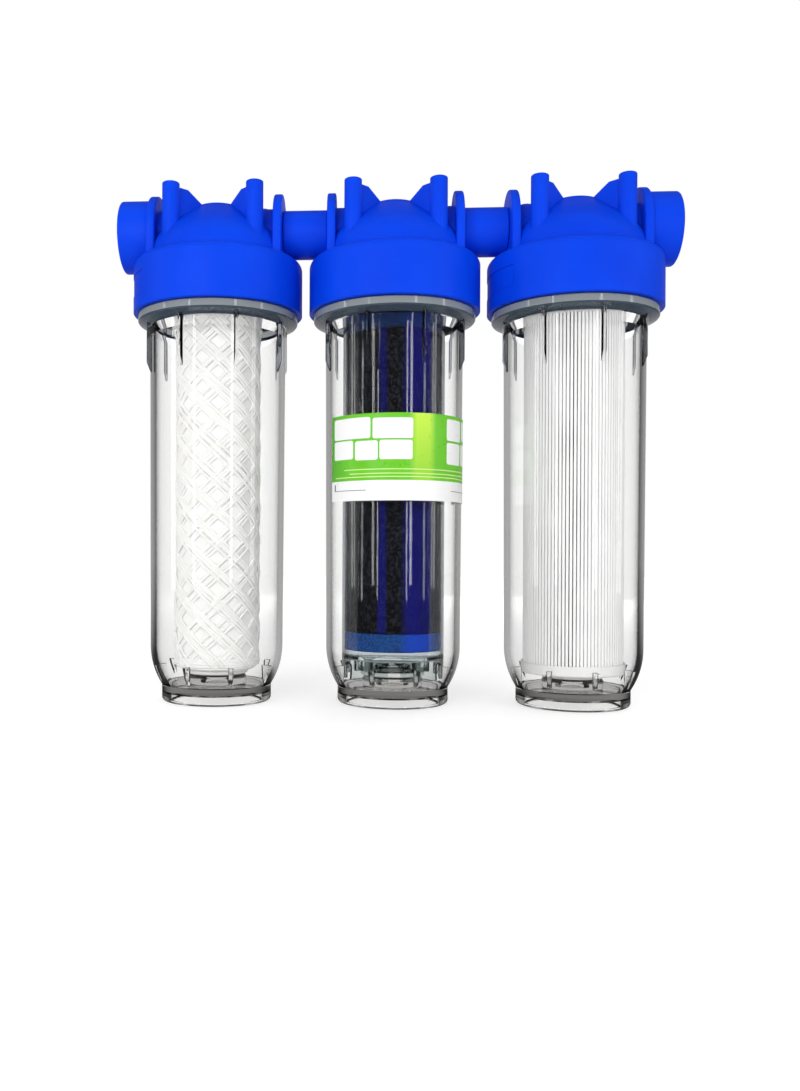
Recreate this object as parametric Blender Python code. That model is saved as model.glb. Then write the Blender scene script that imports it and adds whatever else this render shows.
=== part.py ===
# Three-stage water filter: three blue heads joined in a row, three clear bowls that
# screw up into them, and a different cartridge in each bowl.
# Metres, +Z up. The origin is on the floor, in the middle of the row of bowls.
import math

import bmesh
import bpy
from mathutils import Matrix, Vector
from mathutils.kdtree import KDTree

# Driving dimensions of the whole filter
skirt_gap = 0.0054
cartridge_length = 0.253
seat_height = 0.020
cartridge_to_skirt = 0.0005
fit_gap = 0.0003
cut_overrun = 0.002
merge_distance = 0.000002
round_segments = 28
bowl_segments = 24
bore_segments = 16
seat_segments = 12
post_segments = 8

# Head moulding; heights count up from the bottom edge of its skirt
skirt_radius = 0.060
skirt_height = 0.0375
skirt_wall = 0.0045
skirt_edge_radius = 0.0055
skirt_edge_steps = 2
neck_top_gap = 0.001
dome_inset = 0.0105
dome_height = 0.0765
dome_wall = 0.0045
dome_steps = 4
hollow_steps = 2
plateau_radius = 0.0165
plateau_chamfer = 0.0015
dome_side_share = 0.43
dome_slope_radius_share = 0.64
dome_slope_height_share = 0.61
chamber_rise = 0.0035

# Screw posts for the wall bracket, and the webs that brace them
post_radius = 0.006
post_inset = 0.019
post_angle_deg = 45
post_height = 0.086
web_thickness = 0.0032
web_step = 0.0018
web_flat = 0.0135
web_end_radius = 0.0125

# Ports
port_height = 0.0577
port_neck_radius = 0.0182
plate_setback = 0.013
plate_thickness = 0.006
plate_radius = 0.028
plate_sink = 0.0015
plate_arc_steps = 10
end_boss_radius = 0.0251
end_boss_overhang = 0.008
end_boss_chamfer = 0.0012
end_socket_depth = 0.020
socket_radius = 0.0125
inner_socket_depth = 0.016
flow_radius = 0.008
duct_wall = 0.002

# Cartridge seats, the same in the head and in the bowl
seat_radius = 0.019
seat_foot_radius = 0.021
seat_land_radius = 0.017
seat_land_depth = 0.0023
pilot_radius = 0.0125
pilot_length = 0.0075

# Connector between two heads
connector_radius = 0.0168
spigot_clearance = 0.0004
spigot_end_gap = 0.001

# Clear bowl; the neck's heights count up from the skirt's bottom edge. Each bowl is
# screwed home to an angle of its own.
bowl_turns_deg = (0, 0, -12)
neck_to_wall = 0.0050
bowl_taper = 0.0012
bowl_wall = 0.004
bowl_corner_height = 0.040
bowl_corner_steps = 3
bowl_floor_height = 0.013
foot_step = 0.0082
foot_height = 0.0118
foot_chamfer = 0.0032
foot_wall = 0.0063
foot_recess_height = 0.007
collar_inset = 0.0033
collar_height = 0.0055
collar_under = 0.003
thread_depth = 0.0023
neck_height = 0.0255
neck_wall = 0.0042
neck_inner_drop = 0.008
neck_shoulder_drop = 0.015
ring_groove_drop = 0.008
bowl_ring_radius = 0.0018
bowl_ring_sides = 5
bowl_ring_seat_gap = 0.0007
bowl_ring_side_gap = 0.0003
fin_count = 8
fin_standout = 0.0032
fin_thickness = 0.0024
fin_bottom_drop = 0.0424
fin_chamfer_height = 0.007
fin_chamfer_width = 0.003
fin_sink = 0.0015
rib_depth = 0.0068
rib_height = 0.0140
rib_thickness = 0.0030
rib_sink = 0.001

# Label on the middle bowl
label_low = 0.140
label_high = 0.198
label_start_deg = -152
label_end_deg = 15
label_thickness = 0.0003

# Parts that all cartridges share
gasket_thickness = 0.003
gasket_overlap = 0.0015
pilot_clearance = 0.0015
core_wall = 0.0016

# String-wound sediment cartridge
wound_radius = 0.0262
yarn_radius = 0.0009
yarn_layer_gap = 0.0008
yarn_loops_each_way = 4
yarn_points_per_loop = 24
yarn_end_margin = 0.004
yarn_gap_samples = 6
yarn_sides_resolution = 1

# Granular carbon canister
canister_clearance = 0.0072
canister_wall = 0.0016
canister_skirt_foot = 0.0188
canister_skirt_top = 0.0347
canister_skirt_wall = 0.0022
canister_plate = 0.0033
canister_boss_gap = 0.0091
arch_count = 6
arch_width = 0.008
arch_height = 0.0115
arch_steps = 4
foam_low_thickness = 0.0120
foam_top_thickness = 0.006
canister_cap_height = 0.003
canister_cap_flange = 0.0025

# Pleated polishing cartridge
pleat_count = 40
pleat_clearance = 0.0004
pleat_inner_radius = 0.0190
pleat_sheet = 0.0009
end_cap_clearance = 0.0075
end_cap_height = 0.007
end_cap_lip = 0.0020
end_cap_lip_wall = 0.0008

# Levels and radii that follow from the dimensions above
skirt_level = seat_height + cartridge_length + cartridge_to_skirt
cartridge_top = seat_height + cartridge_length
body_low = seat_height + gasket_thickness + fit_gap
body_high = cartridge_top - gasket_thickness - fit_gap
skirt_inner_radius = skirt_radius - skirt_wall
neck_radius = skirt_inner_radius - thread_depth
neck_inner_radius = neck_radius - neck_wall
collar_radius = skirt_radius - collar_inset
bowl_top_radius = neck_radius - neck_to_wall
bowl_low_radius = bowl_top_radius - bowl_taper
bowl_inner_radius = bowl_low_radius - bowl_wall
foot_radius = bowl_low_radius - foot_step
foot_inner_radius = foot_radius - foot_wall
stage_pitch = 2 * skirt_radius + skirt_gap
dome_radius = skirt_radius - dome_inset
post_ring_radius = skirt_radius - post_inset
plate_face = skirt_radius - plate_setback
end_boss_reach = skirt_radius + end_boss_overhang
port_level = skirt_level + port_height
spigot_radius = socket_radius - spigot_clearance
cartridge_bore = pilot_radius + pilot_clearance
gasket_outer_radius = seat_foot_radius + gasket_overlap
core_radius = cartridge_bore + core_wall
canister_radius = bowl_inner_radius - canister_clearance
end_cap_radius = bowl_inner_radius - end_cap_clearance
pleat_outer_radius = end_cap_radius - end_cap_lip_wall - pleat_clearance


def clear_scene():
    for item in list(bpy.data.objects):
        bpy.data.objects.remove(item, do_unlink=True)


def finish(name, colour, roughness, metallic=0.0, alpha=1.0):
    material = bpy.data.materials.new(name)
    material.use_nodes = True
    shader = material.node_tree.nodes["Principled BSDF"]
    shader.inputs["Base Color"].default_value = (*colour, 1.0)
    shader.inputs["Roughness"].default_value = roughness
    shader.inputs["Metallic"].default_value = metallic
    shader.inputs["Alpha"].default_value = alpha
    material.diffuse_color = (*colour, alpha)
    return material


def new_object(name, shape, material=None):
    bmesh.ops.remove_doubles(shape, verts=shape.verts, dist=merge_distance)
    bmesh.ops.recalc_face_normals(shape, faces=shape.faces)
    mesh = bpy.data.meshes.new(name)
    shape.to_mesh(mesh)
    shape.free()
    thing = bpy.data.objects.new(name, mesh)
    bpy.context.scene.collection.objects.link(thing)
    if material is not None:
        mesh.materials.append(material)
    return thing


def soften(thing, angle_deg=35):
    thing.data.shade_smooth()
    thing.data.set_sharp_from_angle(angle=math.radians(angle_deg))


# A profile is a list of (radius, height) points, turned about the Z axis. One that
# starts and ends on the axis stays open there; any other is closed.
def turned(name, profile, segments, material=None):
    shape = bmesh.new()
    verts = [shape.verts.new((radius, 0, height)) for radius, height in profile]
    edges = [shape.edges.new(pair) for pair in zip(verts, verts[1:])]
    if profile[0][0] > 0 or profile[-1][0] > 0:
        edges.append(shape.edges.new((verts[-1], verts[0])))
    bmesh.ops.spin(shape, geom=verts + edges, axis=(0, 0, 1), cent=(0, 0, 0),
                   angle=math.tau, steps=segments, use_merge=True)
    return new_object(name, shape, material)


# An outline is a list of (u, v) points in a plane, thickened by the same amount
# to both sides of it.
def thick_outline(name, outline, thickness, placement, material=None):
    shape = bmesh.new()
    back = [shape.verts.new((u, v, -thickness / 2)) for u, v in outline]
    front = [shape.verts.new((u, v, thickness / 2)) for u, v in outline]
    shape.faces.new(back)
    shape.faces.new(front)
    for index in range(len(outline)):
        after = (index + 1) % len(outline)
        shape.faces.new((back[index], back[after], front[after], front[index]))
    bmesh.ops.transform(shape, matrix=placement, verts=shape.verts)
    return new_object(name, shape, material)


# A round bar along the Z axis from one height to another
def bar(name, radius, low, high, segments, placement=None):
    profile = [(0, low), (radius, low), (radius, high), (0, high)]
    thing = turned(name, profile, segments)
    if placement is not None:
        thing.data.transform(placement)
    return thing


def along_x(height=0):
    return Matrix.Translation((0, 0, height)) @ Matrix.Rotation(math.pi / 2, 4, "Y")


# Posts, webs and fins meet curved walls at grazing angles, and every shape is closed
def combine(target, other, operation):
    modifier = target.modifiers.new(operation.lower(), "BOOLEAN")
    modifier.operation = operation
    modifier.solver = "MANIFOLD"
    modifier.object = other
    with bpy.context.temp_override(object=target, active_object=target):
        bpy.ops.object.modifier_apply(modifier=modifier.name)
    bpy.data.objects.remove(other, do_unlink=True)


def join(target, other):
    combine(target, other, "UNION")


def cut(target, other):
    combine(target, other, "DIFFERENCE")


def place(thing, stage):
    thing.location = (stage_x(stage), 0, 0)
    return thing


def stage_x(stage):
    return (stage - 2) * stage_pitch


def curve_point(share, points):
    start, first, second, end = points
    rest = 1 - share
    return tuple(rest ** 3 * a + 3 * rest ** 2 * share * b + 3 * rest * share ** 2 * c + share ** 3 * d
                 for a, b, c, d in zip(start, first, second, end))


def arc_points(centre, radius, start_angle, end_angle, steps):
    points = []
    for index in range(steps + 1):
        angle = start_angle + (end_angle - start_angle) * index / steps
        points.append((centre[0] + radius * math.cos(angle), centre[1] + radius * math.sin(angle)))
    return points


# The dome's bell curve, from its foot up to the plateau; the hollow inside has the
# same curve, drawn in by the wall.
def dome_curve(inset, steps):
    foot = dome_radius - inset
    crown = plateau_radius - inset
    base = skirt_level + skirt_height
    rise = dome_height - skirt_height - inset
    corners = ((foot, base),
               (foot, base + dome_side_share * rise),
               (crown + dome_slope_radius_share * (foot - crown), base + dome_slope_height_share * rise),
               (crown, base + rise))
    return [curve_point(step / steps, corners) for step in range(steps + 1)]


# Skirt and dome as one full solid
def head_blank(name, material):
    edge_centre = (skirt_radius - skirt_edge_radius, skirt_level + skirt_height - skirt_edge_radius)
    profile = [(0, skirt_level), (skirt_radius, skirt_level)]
    profile += arc_points(edge_centre, skirt_edge_radius, 0, math.pi / 2, skirt_edge_steps)
    profile += dome_curve(0, dome_steps)[:-1]
    plateau = skirt_level + dome_height
    profile += [(plateau_radius + plateau_chamfer, plateau - plateau_chamfer), (plateau_radius, plateau)]
    profile += [(0, plateau)]
    return turned(name, profile, round_segments, material)


def add_posts(head):
    foot = skirt_level + skirt_height - cut_overrun
    top = skirt_level + post_height
    web_top = top - web_step
    web_end = skirt_level + dome_height - plateau_chamfer
    web_start = post_ring_radius - web_flat
    outline = [(post_ring_radius, foot), (web_end_radius, foot), (web_end_radius, web_end),
               (web_start, web_top), (post_ring_radius, web_top)]
    for side in (-1, 1):
        for turn_deg in (-post_angle_deg, post_angle_deg):
            turn = Matrix.Rotation(math.radians(turn_deg), 4, "Z")
            spot = Matrix.Translation((side * post_ring_radius, 0, 0))
            join(head, bar("post", post_radius, foot, top, post_segments, turn @ spot))
            facing = Matrix.Rotation(math.pi / 2 - side * math.pi / 2, 4, "Z")
            upright = turn @ facing @ Matrix.Rotation(math.pi / 2, 4, "X")
            join(head, thick_outline("web", outline, web_thickness, upright))


# Round-topped plate that stands on the skirt across the port
def port_plate(side):
    foot = skirt_level + skirt_height - plate_sink
    outline = [(-plate_radius, foot), (plate_radius, foot)]
    outline += arc_points((0, port_level), plate_radius, 0, math.pi, plate_arc_steps)
    middle = side * (plate_face - plate_thickness / 2)
    across = Matrix(((0, 0, 1, middle), (1, 0, 0, 0), (0, 1, 0, 0), (0, 0, 0, 1)))
    return thick_outline("plate", outline, plate_thickness, across)


def end_boss(side):
    face = end_boss_reach
    inner = plate_face - plate_thickness / 2
    profile = [(0, inner), (end_boss_radius, inner), (end_boss_radius, face - end_boss_chamfer),
               (end_boss_radius - end_boss_chamfer, face), (0, face)]
    boss = turned("boss", profile, round_segments)
    boss.data.transform(port_frame(side))
    return boss


# Turns a shape made along +Z so that it lies along the port's axis
def port_frame(side):
    turn = Matrix.Rotation(side * math.pi / 2, 4, "Y")
    return Matrix.Translation((0, 0, port_level)) @ turn


def add_port_outside(head, side, is_end):
    hub = pilot_radius
    join(head, bar("neck", port_neck_radius, hub, plate_face - plate_thickness / 2,
                   bore_segments, port_frame(side)))
    join(head, port_plate(side))
    if is_end:
        join(head, end_boss(side))


def hollow_head(head):
    floor = skirt_level - cut_overrun
    ceiling = skirt_level + neck_height + neck_top_gap
    curve = dome_curve(dome_wall, hollow_steps)
    profile = [(0, floor), (skirt_inner_radius, floor), (skirt_inner_radius, ceiling),
               (curve[0][0], ceiling + chamber_rise)]
    profile += curve[1:]
    profile += [(0, curve[-1][1])]
    cut(head, turned("hollow", profile, bowl_segments))


# Solid column down to the cartridge seat; its bore and the duct are cut later
def add_column(head):
    seat = cartridge_top + fit_gap
    land = seat + seat_land_depth
    top = skirt_level + dome_height - dome_wall / 2
    flare = seat_foot_radius - pilot_radius
    profile = [(0, seat - pilot_length), (pilot_radius, seat - pilot_length), (pilot_radius, land),
               (seat_land_radius, land), (seat_radius, seat), (seat_foot_radius, land),
               (pilot_radius, land + flare), (pilot_radius, top), (0, top)]
    join(head, turned("column", profile, seat_segments))


# Outlet duct from the column to the wall of the dome
def add_duct(head):
    duct_end = plate_face - plate_thickness
    join(head, bar("duct", socket_radius + duct_wall, 0, duct_end, bore_segments, port_frame(1)))


def bore_ports(head, inlet_is_end, outlet_is_end):
    seat = cartridge_top + fit_gap
    up = bar("riser", flow_radius, seat - pilot_length - cut_overrun, port_level, seat_segments)
    cut(head, up)
    for side, is_end in ((-1, inlet_is_end), (1, outlet_is_end)):
        face = end_boss_reach if is_end else plate_face
        depth = end_socket_depth if is_end else inner_socket_depth
        far = pilot_radius + cut_overrun if side < 0 else 0
        frame = port_frame(side)
        if not is_end:
            cut(head, bar("relief", port_neck_radius, face, skirt_radius, bore_segments, frame))
        cut(head, bar("flow", flow_radius, far, face, bore_segments, frame))
        cut(head, bar("socket", socket_radius, face - depth, face + cut_overrun, bore_segments, frame))


def make_head(stage, name, material):
    inlet_is_end = stage == 1
    outlet_is_end = stage == 3
    head = head_blank(name, material)
    for side, is_end in ((-1, inlet_is_end), (1, outlet_is_end)):
        add_port_outside(head, side, is_end)
    add_posts(head)
    hollow_head(head)
    add_column(head)
    add_duct(head)
    bore_ports(head, inlet_is_end, outlet_is_end)
    soften(head)
    return place(head, stage)


# Double-ended spigot between two heads, turned about X midway between them
def make_connector(index, material):
    half = stage_pitch / 2 - plate_face - fit_gap
    tip = stage_pitch / 2 - plate_face + inner_socket_depth - spigot_end_gap
    side = [(connector_radius, half), (spigot_radius, half), (spigot_radius, tip), (flow_radius, tip)]
    lower = [(radius, -height) for radius, height in reversed(side)]
    connector = turned("connector_%d" % index, lower + side, bore_segments, material)
    connector.data.transform(along_x())
    connector.location = (stage_x(index) + stage_pitch / 2, 0, port_level)
    soften(connector)
    return connector


# Outer radius of the bowl's tapered wall at a height
def wall_radius(height):
    top = skirt_level - collar_height - collar_under
    share = (height - bowl_corner_height) / (top - bowl_corner_height)
    return bowl_low_radius + share * (bowl_top_radius - bowl_low_radius)


# Rounded lower corner of the bowl, from the foot up to the wall
def bowl_corner(foot_radius_here, foot_here, top_radius, top_here):
    run = top_radius - foot_radius_here
    rise = top_here - foot_here
    sweep = 2 * math.atan2(run, rise)
    radius = rise / math.sin(sweep)
    return arc_points((top_radius - radius, top_here), radius, -sweep, 0, bowl_corner_steps)


def bowl_outside():
    profile = [(foot_inner_radius, 0), (foot_radius - foot_chamfer, 0), (foot_radius, foot_chamfer)]
    profile += bowl_corner(foot_radius, foot_height, bowl_low_radius, bowl_corner_height)
    collar_low = skirt_level - fit_gap - collar_height
    profile += [(bowl_top_radius, collar_low - collar_under), (collar_radius, collar_low),
                (collar_radius, skirt_level - fit_gap), (neck_radius, skirt_level - fit_gap)]
    return profile


def bowl_neck():
    groove_low = skirt_level + neck_height - ring_groove_drop
    groove_high = groove_low + 2 * (bowl_ring_radius + bowl_ring_side_gap)
    groove_radius = bowl_ring_centre() - bowl_ring_radius - bowl_ring_seat_gap
    top = skirt_level + neck_height
    return [(neck_radius, groove_low), (groove_radius, groove_low), (groove_radius, groove_high),
            (neck_radius, groove_high), (neck_radius, top), (neck_inner_radius, top)]


def bowl_ring_centre():
    return skirt_inner_radius - 2 * fit_gap - bowl_ring_radius


def bowl_inside():
    low = skirt_level - neck_shoulder_drop
    profile = [(neck_inner_radius, skirt_level - neck_inner_drop), (wall_radius(low) - bowl_wall, low)]
    corner = bowl_corner(foot_radius - bowl_wall, bowl_floor_height, bowl_low_radius - bowl_wall,
                         bowl_corner_height)
    profile += reversed(corner)
    return profile


# Seat for the cartridge in the middle of the bowl's floor
def bowl_seat():
    seat = seat_height - fit_gap
    land = seat - seat_land_depth
    tip = seat + pilot_length
    return [(seat_foot_radius, bowl_floor_height), (seat_foot_radius, land), (seat_radius, seat),
            (seat_land_radius, land), (pilot_radius, land), (pilot_radius, tip),
            (flow_radius, tip), (flow_radius, bowl_floor_height),
            (0, bowl_floor_height)]


def bowl_underside():
    return [(0, foot_recess_height), (foot_inner_radius, foot_recess_height)]


# The fins stand on the corners between the flats of the wall
def make_bowl(stage, material):
    profile = bowl_underside() + bowl_outside() + bowl_neck() + bowl_inside() + bowl_seat()
    bowl = turned("bowl_%d" % stage, profile, bowl_segments, material)
    bowl.data.transform(Matrix.Rotation(math.pi / bowl_segments, 4, "Z"))
    for index in range(fin_count):
        angle = (index + 1 / 2) * math.tau / fin_count
        join(bowl, wrench_fin(angle))
        join(bowl, corner_rib(angle))
    bowl.data.transform(Matrix.Rotation(math.radians(bowl_turns_deg[stage - 1]), 4, "Z"))
    soften(bowl)
    return place(bowl, stage)


# Grip fin below the collar, for the bowl wrench
def wrench_fin(angle):
    top = skirt_level - fit_gap - collar_height / 2
    low = skirt_level - fin_bottom_drop
    reach = bowl_top_radius + fin_standout
    outline = [(wall_radius(low) - fin_sink, low), (reach - fin_chamfer_width, low),
               (reach, low + fin_chamfer_height), (reach, top), (wall_radius(top) - fin_sink, top)]
    return thick_outline("fin", outline, fin_thickness, radial_plane(angle))


# Short rib in the bowl's lower corner
def corner_rib(angle):
    high = bowl_floor_height + rib_height
    low = bowl_floor_height - rib_sink
    inner = bowl_inner_radius - rib_depth
    outer = bowl_low_radius - bowl_wall / 2
    outer_low = foot_radius - bowl_wall / 2
    outline = [(inner, low), (outer_low, low), (outer, high), (inner, high)]
    return thick_outline("rib", outline, rib_thickness, radial_plane(angle))


# Plane through the Z axis: u runs outwards, v upwards
def radial_plane(angle):
    return Matrix.Rotation(angle, 4, "Z") @ Matrix.Rotation(math.pi / 2, 4, "X")


def make_bowl_ring(stage, material):
    level = skirt_level + neck_height - ring_groove_drop + bowl_ring_radius + bowl_ring_side_gap
    section = arc_points((bowl_ring_centre(), level), bowl_ring_radius, 0, math.tau, bowl_ring_sides)[:-1]
    ring = turned("bowl_o_ring_%d" % stage, section, bowl_segments, material)
    soften(ring, 80)
    return place(ring, stage)


# Thin label that follows the facets of the bowl's wall
def make_label(material):
    step = 360 / bowl_segments
    corners = [(index + 1 / 2) * step for index in range(-bowl_segments, bowl_segments)]
    angles = [label_start_deg]
    angles += [corner for corner in corners if label_start_deg < corner < label_end_deg]
    angles.append(label_end_deg)
    shape = bmesh.new()
    rings = []
    for angle_deg in angles:
        angle = math.radians(angle_deg)
        off = math.radians((angle_deg + step / 2) % step - step / 2)
        flat = math.cos(math.radians(step / 2)) / math.cos(off)
        ring = []
        for height, inset in ((label_low, 0), (label_low, 1), (label_high, 1), (label_high, 0)):
            radius = wall_radius(height) * flat + fit_gap + inset * label_thickness
            ring.append(shape.verts.new((radius * math.cos(angle), radius * math.sin(angle), height)))
        rings.append(ring)
    for first, second in zip(rings, rings[1:]):
        for index in range(len(first)):
            after = (index + 1) % len(first)
            shape.faces.new((first[index], first[after], second[after], second[index]))
    shape.faces.new(rings[0])
    shape.faces.new(rings[-1])
    label = new_object("label_2", shape, material)
    return place(label, 2)


def make_tube(name, stage, inner, outer, low, high, segments, material):
    tube = turned(name, [(inner, low), (outer, low), (outer, high), (inner, high)], segments, material)
    soften(tube)
    return place(tube, stage)


def make_gaskets(stage, material):
    for name, low in (("low", seat_height), ("top", cartridge_top - gasket_thickness)):
        make_tube("gasket_%s_%d" % (name, stage), stage, cartridge_bore, gasket_outer_radius,
                  low, low + gasket_thickness, seat_segments, material)


# The outer yarn climbs the cartridge in one layer, turns back at the top while it
# steps out over itself, and comes down again crossing the first layer.
def yarn_path():
    low = body_low + yarn_end_margin
    high = body_high - yarn_end_margin
    inner = wound_radius + fit_gap + yarn_radius + yarn_layer_gap / 2
    outer = inner + 2 * yarn_radius + yarn_layer_gap
    turn_back = yarn_points_per_loop // 2
    run = yarn_loops_each_way * yarn_points_per_loop
    ease = (high - low) / (2 * yarn_loops_each_way * math.tau)
    points = []
    for index in range(2 * run + turn_back + 1):
        angle = math.tau * index / yarn_points_per_loop
        if index <= run:
            height = low + (high - low) * index / run
            radius = inner
        elif index < run + turn_back:
            share = (index - run) / turn_back
            height = high + ease * math.sin(math.pi * share)
            radius = inner + (outer - inner) * share
        else:
            height = high - (high - low) * (index - run - turn_back) / run
            radius = outer
        points.append(Vector((radius * math.cos(angle), radius * math.sin(angle), height)))
    return points


# Least clear distance between stretches of the yarn that aren't neighbours
def least_yarn_gap(points):
    samples = []
    for start, end in zip(points, points[1:]):
        samples += [start.lerp(end, part / yarn_gap_samples) for part in range(yarn_gap_samples)]
    tree = KDTree(len(samples))
    for index, sample in enumerate(samples):
        tree.insert(sample, index)
    tree.balance()
    apart = yarn_points_per_loop * yarn_gap_samples // 4
    least = cartridge_length
    for index, sample in enumerate(samples):
        for _, other, distance in tree.find_range(sample, 4 * yarn_radius + 2 * yarn_layer_gap):
            if abs(other - index) > apart:
                least = min(least, distance)
    return least - 2 * yarn_radius


def make_wound_cartridge(stage, core_material, yarn_material):
    make_tube("core_%d" % stage, stage, cartridge_bore, core_radius, body_low, body_high,
              seat_segments, core_material)
    make_tube("wound_media_%d" % stage, stage, core_radius + fit_gap, wound_radius, body_low, body_high,
              bowl_segments, yarn_material)
    path = yarn_path()
    curve = bpy.data.curves.new("yarn_%d" % stage, "CURVE")
    curve.dimensions = "3D"
    curve.bevel_depth = yarn_radius
    curve.bevel_resolution = yarn_sides_resolution
    curve.use_fill_caps = True
    spline = curve.splines.new("POLY")
    spline.points.add(len(path) - 1)
    for point, place_now in zip(spline.points, path):
        point.co = (*place_now, 1)
    curve.materials.append(yarn_material)
    yarn = bpy.data.objects.new("yarn_%d" % stage, curve)
    bpy.context.scene.collection.objects.link(yarn)
    place(yarn, stage)
    print("yarn: least gap to itself %.5f m" % least_yarn_gap(path))


# Foot of the canister: an arched skirt round a boss that holds the gasket
def make_canister_foot(stage, material):
    plug = canister_radius - canister_wall - fit_gap
    skirt_inner = canister_radius - canister_skirt_wall
    boss_low = seat_height + gasket_thickness + fit_gap
    plate_top = canister_skirt_top + canister_plate
    pocket_top = seat_height + pilot_length + cut_overrun
    boss = skirt_inner - canister_boss_gap
    profile = [(0, pocket_top), (cartridge_bore, pocket_top), (cartridge_bore, boss_low),
               (boss, boss_low), (boss, canister_skirt_top - canister_plate),
               (skirt_inner, canister_skirt_top - canister_plate), (skirt_inner, canister_skirt_foot),
               (canister_radius, canister_skirt_foot), (canister_radius, canister_skirt_top - fit_gap),
               (plug, canister_skirt_top - fit_gap), (plug, plate_top), (0, plate_top)]
    foot = turned("canister_foot_%d" % stage, profile, bowl_segments, material)
    for index in range(arch_count):
        angle = index * math.tau / arch_count
        cut(foot, arch_cutter(angle))
    soften(foot)
    return place(foot, stage)


def arch_cutter(angle):
    low = canister_skirt_foot - cut_overrun
    spring = canister_skirt_foot + arch_height - arch_width / 2
    outline = [(-arch_width / 2, low), (arch_width / 2, low)]
    outline += arc_points((0, spring), arch_width / 2, 0, math.pi, arch_steps)
    middle = canister_radius - canister_skirt_wall / 2
    depth = canister_skirt_wall + 2 * cut_overrun
    facing = Matrix.Rotation(angle, 4, "Z") @ Matrix.Translation((0, -middle, 0))
    return thick_outline("arch", outline, depth, facing @ Matrix.Rotation(math.pi / 2, 4, "X"))


def make_canister_cap(stage, material):
    plug = canister_radius - canister_wall - fit_gap
    tube_top = body_high - canister_cap_flange
    profile = [(cartridge_bore, tube_top - canister_cap_height), (plug, tube_top - canister_cap_height),
               (plug, tube_top), (canister_radius, tube_top), (canister_radius, body_high),
               (cartridge_bore, body_high)]
    cap = turned("canister_cap_%d" % stage, profile, bowl_segments, material)
    soften(cap)
    return place(cap, stage)


def make_canister(stage, finishes):
    inner = canister_radius - canister_wall
    tube_top = body_high - canister_cap_flange - fit_gap
    make_tube("canister_%d" % stage, stage, inner, canister_radius, canister_skirt_top, tube_top,
              bowl_segments, finishes["canister"])
    make_canister_foot(stage, finishes["canister_end"])
    make_canister_cap(stage, finishes["canister_end"])
    fill = inner - fit_gap
    fill_low = canister_skirt_top + canister_plate + fit_gap
    fill_high = tube_top - canister_cap_height
    carbon_low = fill_low + foam_low_thickness + fit_gap
    carbon_high = fill_high - foam_top_thickness - fit_gap
    for name, low, high, finish_name in (("foam_low", fill_low, carbon_low - fit_gap, "foam"),
                                         ("carbon", carbon_low, carbon_high, "carbon"),
                                         ("foam_top", carbon_high + fit_gap, fill_high, "foam")):
        layer = bar("%s_%d" % (name, stage), fill, low, high, bowl_segments)
        layer.data.materials.append(finishes[finish_name])
        soften(layer)
        place(layer, stage)


# Filter sheet folded to and fro round the core; both faces of the sheet are drawn
def make_pleats(stage, material):
    low = body_low + end_cap_height - end_cap_lip
    high = body_high - end_cap_height + end_cap_lip
    shape = bmesh.new()
    columns = []
    for index in range(2 * pleat_count):
        angle = math.pi * index / pleat_count
        is_crest = index % 2 == 0
        outer = pleat_outer_radius if is_crest else pleat_inner_radius + pleat_sheet
        inner = pleat_outer_radius - pleat_slant() if is_crest else pleat_inner_radius
        column = [shape.verts.new((radius * math.cos(angle), radius * math.sin(angle), height))
                  for radius, height in ((outer, low), (outer, high), (inner, high), (inner, low))]
        columns.append(column)
    for index, column in enumerate(columns):
        following = columns[(index + 1) % len(columns)]
        for side in range(len(column)):
            after = (side + 1) % len(column)
            shape.faces.new((column[side], column[after], following[after], following[side]))
    pleats = new_object("pleats_%d" % stage, shape, material)
    return place(pleats, stage)


# Sheet thickness measured along a crest's own radius
def pleat_slant():
    depth = pleat_outer_radius - pleat_inner_radius
    half_width = pleat_outer_radius * math.tan(math.pi / (2 * pleat_count))
    return pleat_sheet * math.hypot(depth, half_width) / half_width / 2


def make_end_cap(name, stage, face, inward, material):
    lip = face + inward * (end_cap_height)
    web = lip - inward * end_cap_lip * 2
    lip_inner = end_cap_radius - end_cap_lip_wall
    profile = [(cartridge_bore, face), (end_cap_radius, face), (end_cap_radius, lip),
               (lip_inner, lip), (lip_inner, web), (cartridge_bore, web)]
    cap = turned(name, profile, bowl_segments, material)
    soften(cap)
    return place(cap, stage)


def make_pleated_cartridge(stage, finishes):
    web = end_cap_height - 2 * end_cap_lip
    make_tube("core_%d" % stage, stage, cartridge_bore, core_radius, body_low + web + fit_gap,
              body_high - web - fit_gap, seat_segments, finishes["core"])
    make_pleats(stage, finishes["pleats"])
    make_end_cap("end_cap_low_%d" % stage, stage, body_low, 1, finishes["end_cap"])
    make_end_cap("end_cap_top_%d" % stage, stage, body_high, -1, finishes["end_cap"])


def make_finishes():
    return {
        "head": finish("blue_polypropylene", (0.010, 0.065, 0.80), 0.38),
        "bowl": finish("clear_bowl", (0.93, 0.95, 0.95), 0.05, alpha=0.3),
        "rubber": finish("black_rubber", (0.02, 0.02, 0.02), 0.6),
        "gasket": finish("white_gasket", (0.85, 0.86, 0.84), 0.6),
        "core": finish("core_plastic", (0.90, 0.90, 0.88), 0.45),
        "yarn": finish("wound_yarn", (0.93, 0.93, 0.91), 0.85),
        "canister": finish("canister_plastic", (0.30, 0.32, 0.42), 0.12, alpha=0.35),
        "canister_end": finish("canister_end_plastic", (0.70, 0.74, 0.74), 0.2, alpha=0.5),
        "carbon": finish("carbon_granules", (0.012, 0.012, 0.016), 0.7),
        "foam": finish("blue_foam", (0.05, 0.27, 0.60), 0.8),
        "end_cap": finish("white_cap_plastic", (0.92, 0.92, 0.92), 0.4),
        "pleats": finish("pleated_sheet", (0.94, 0.94, 0.93), 0.8),
        "label": finish("label_film", (0.25, 0.62, 0.08), 0.35),
    }


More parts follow.
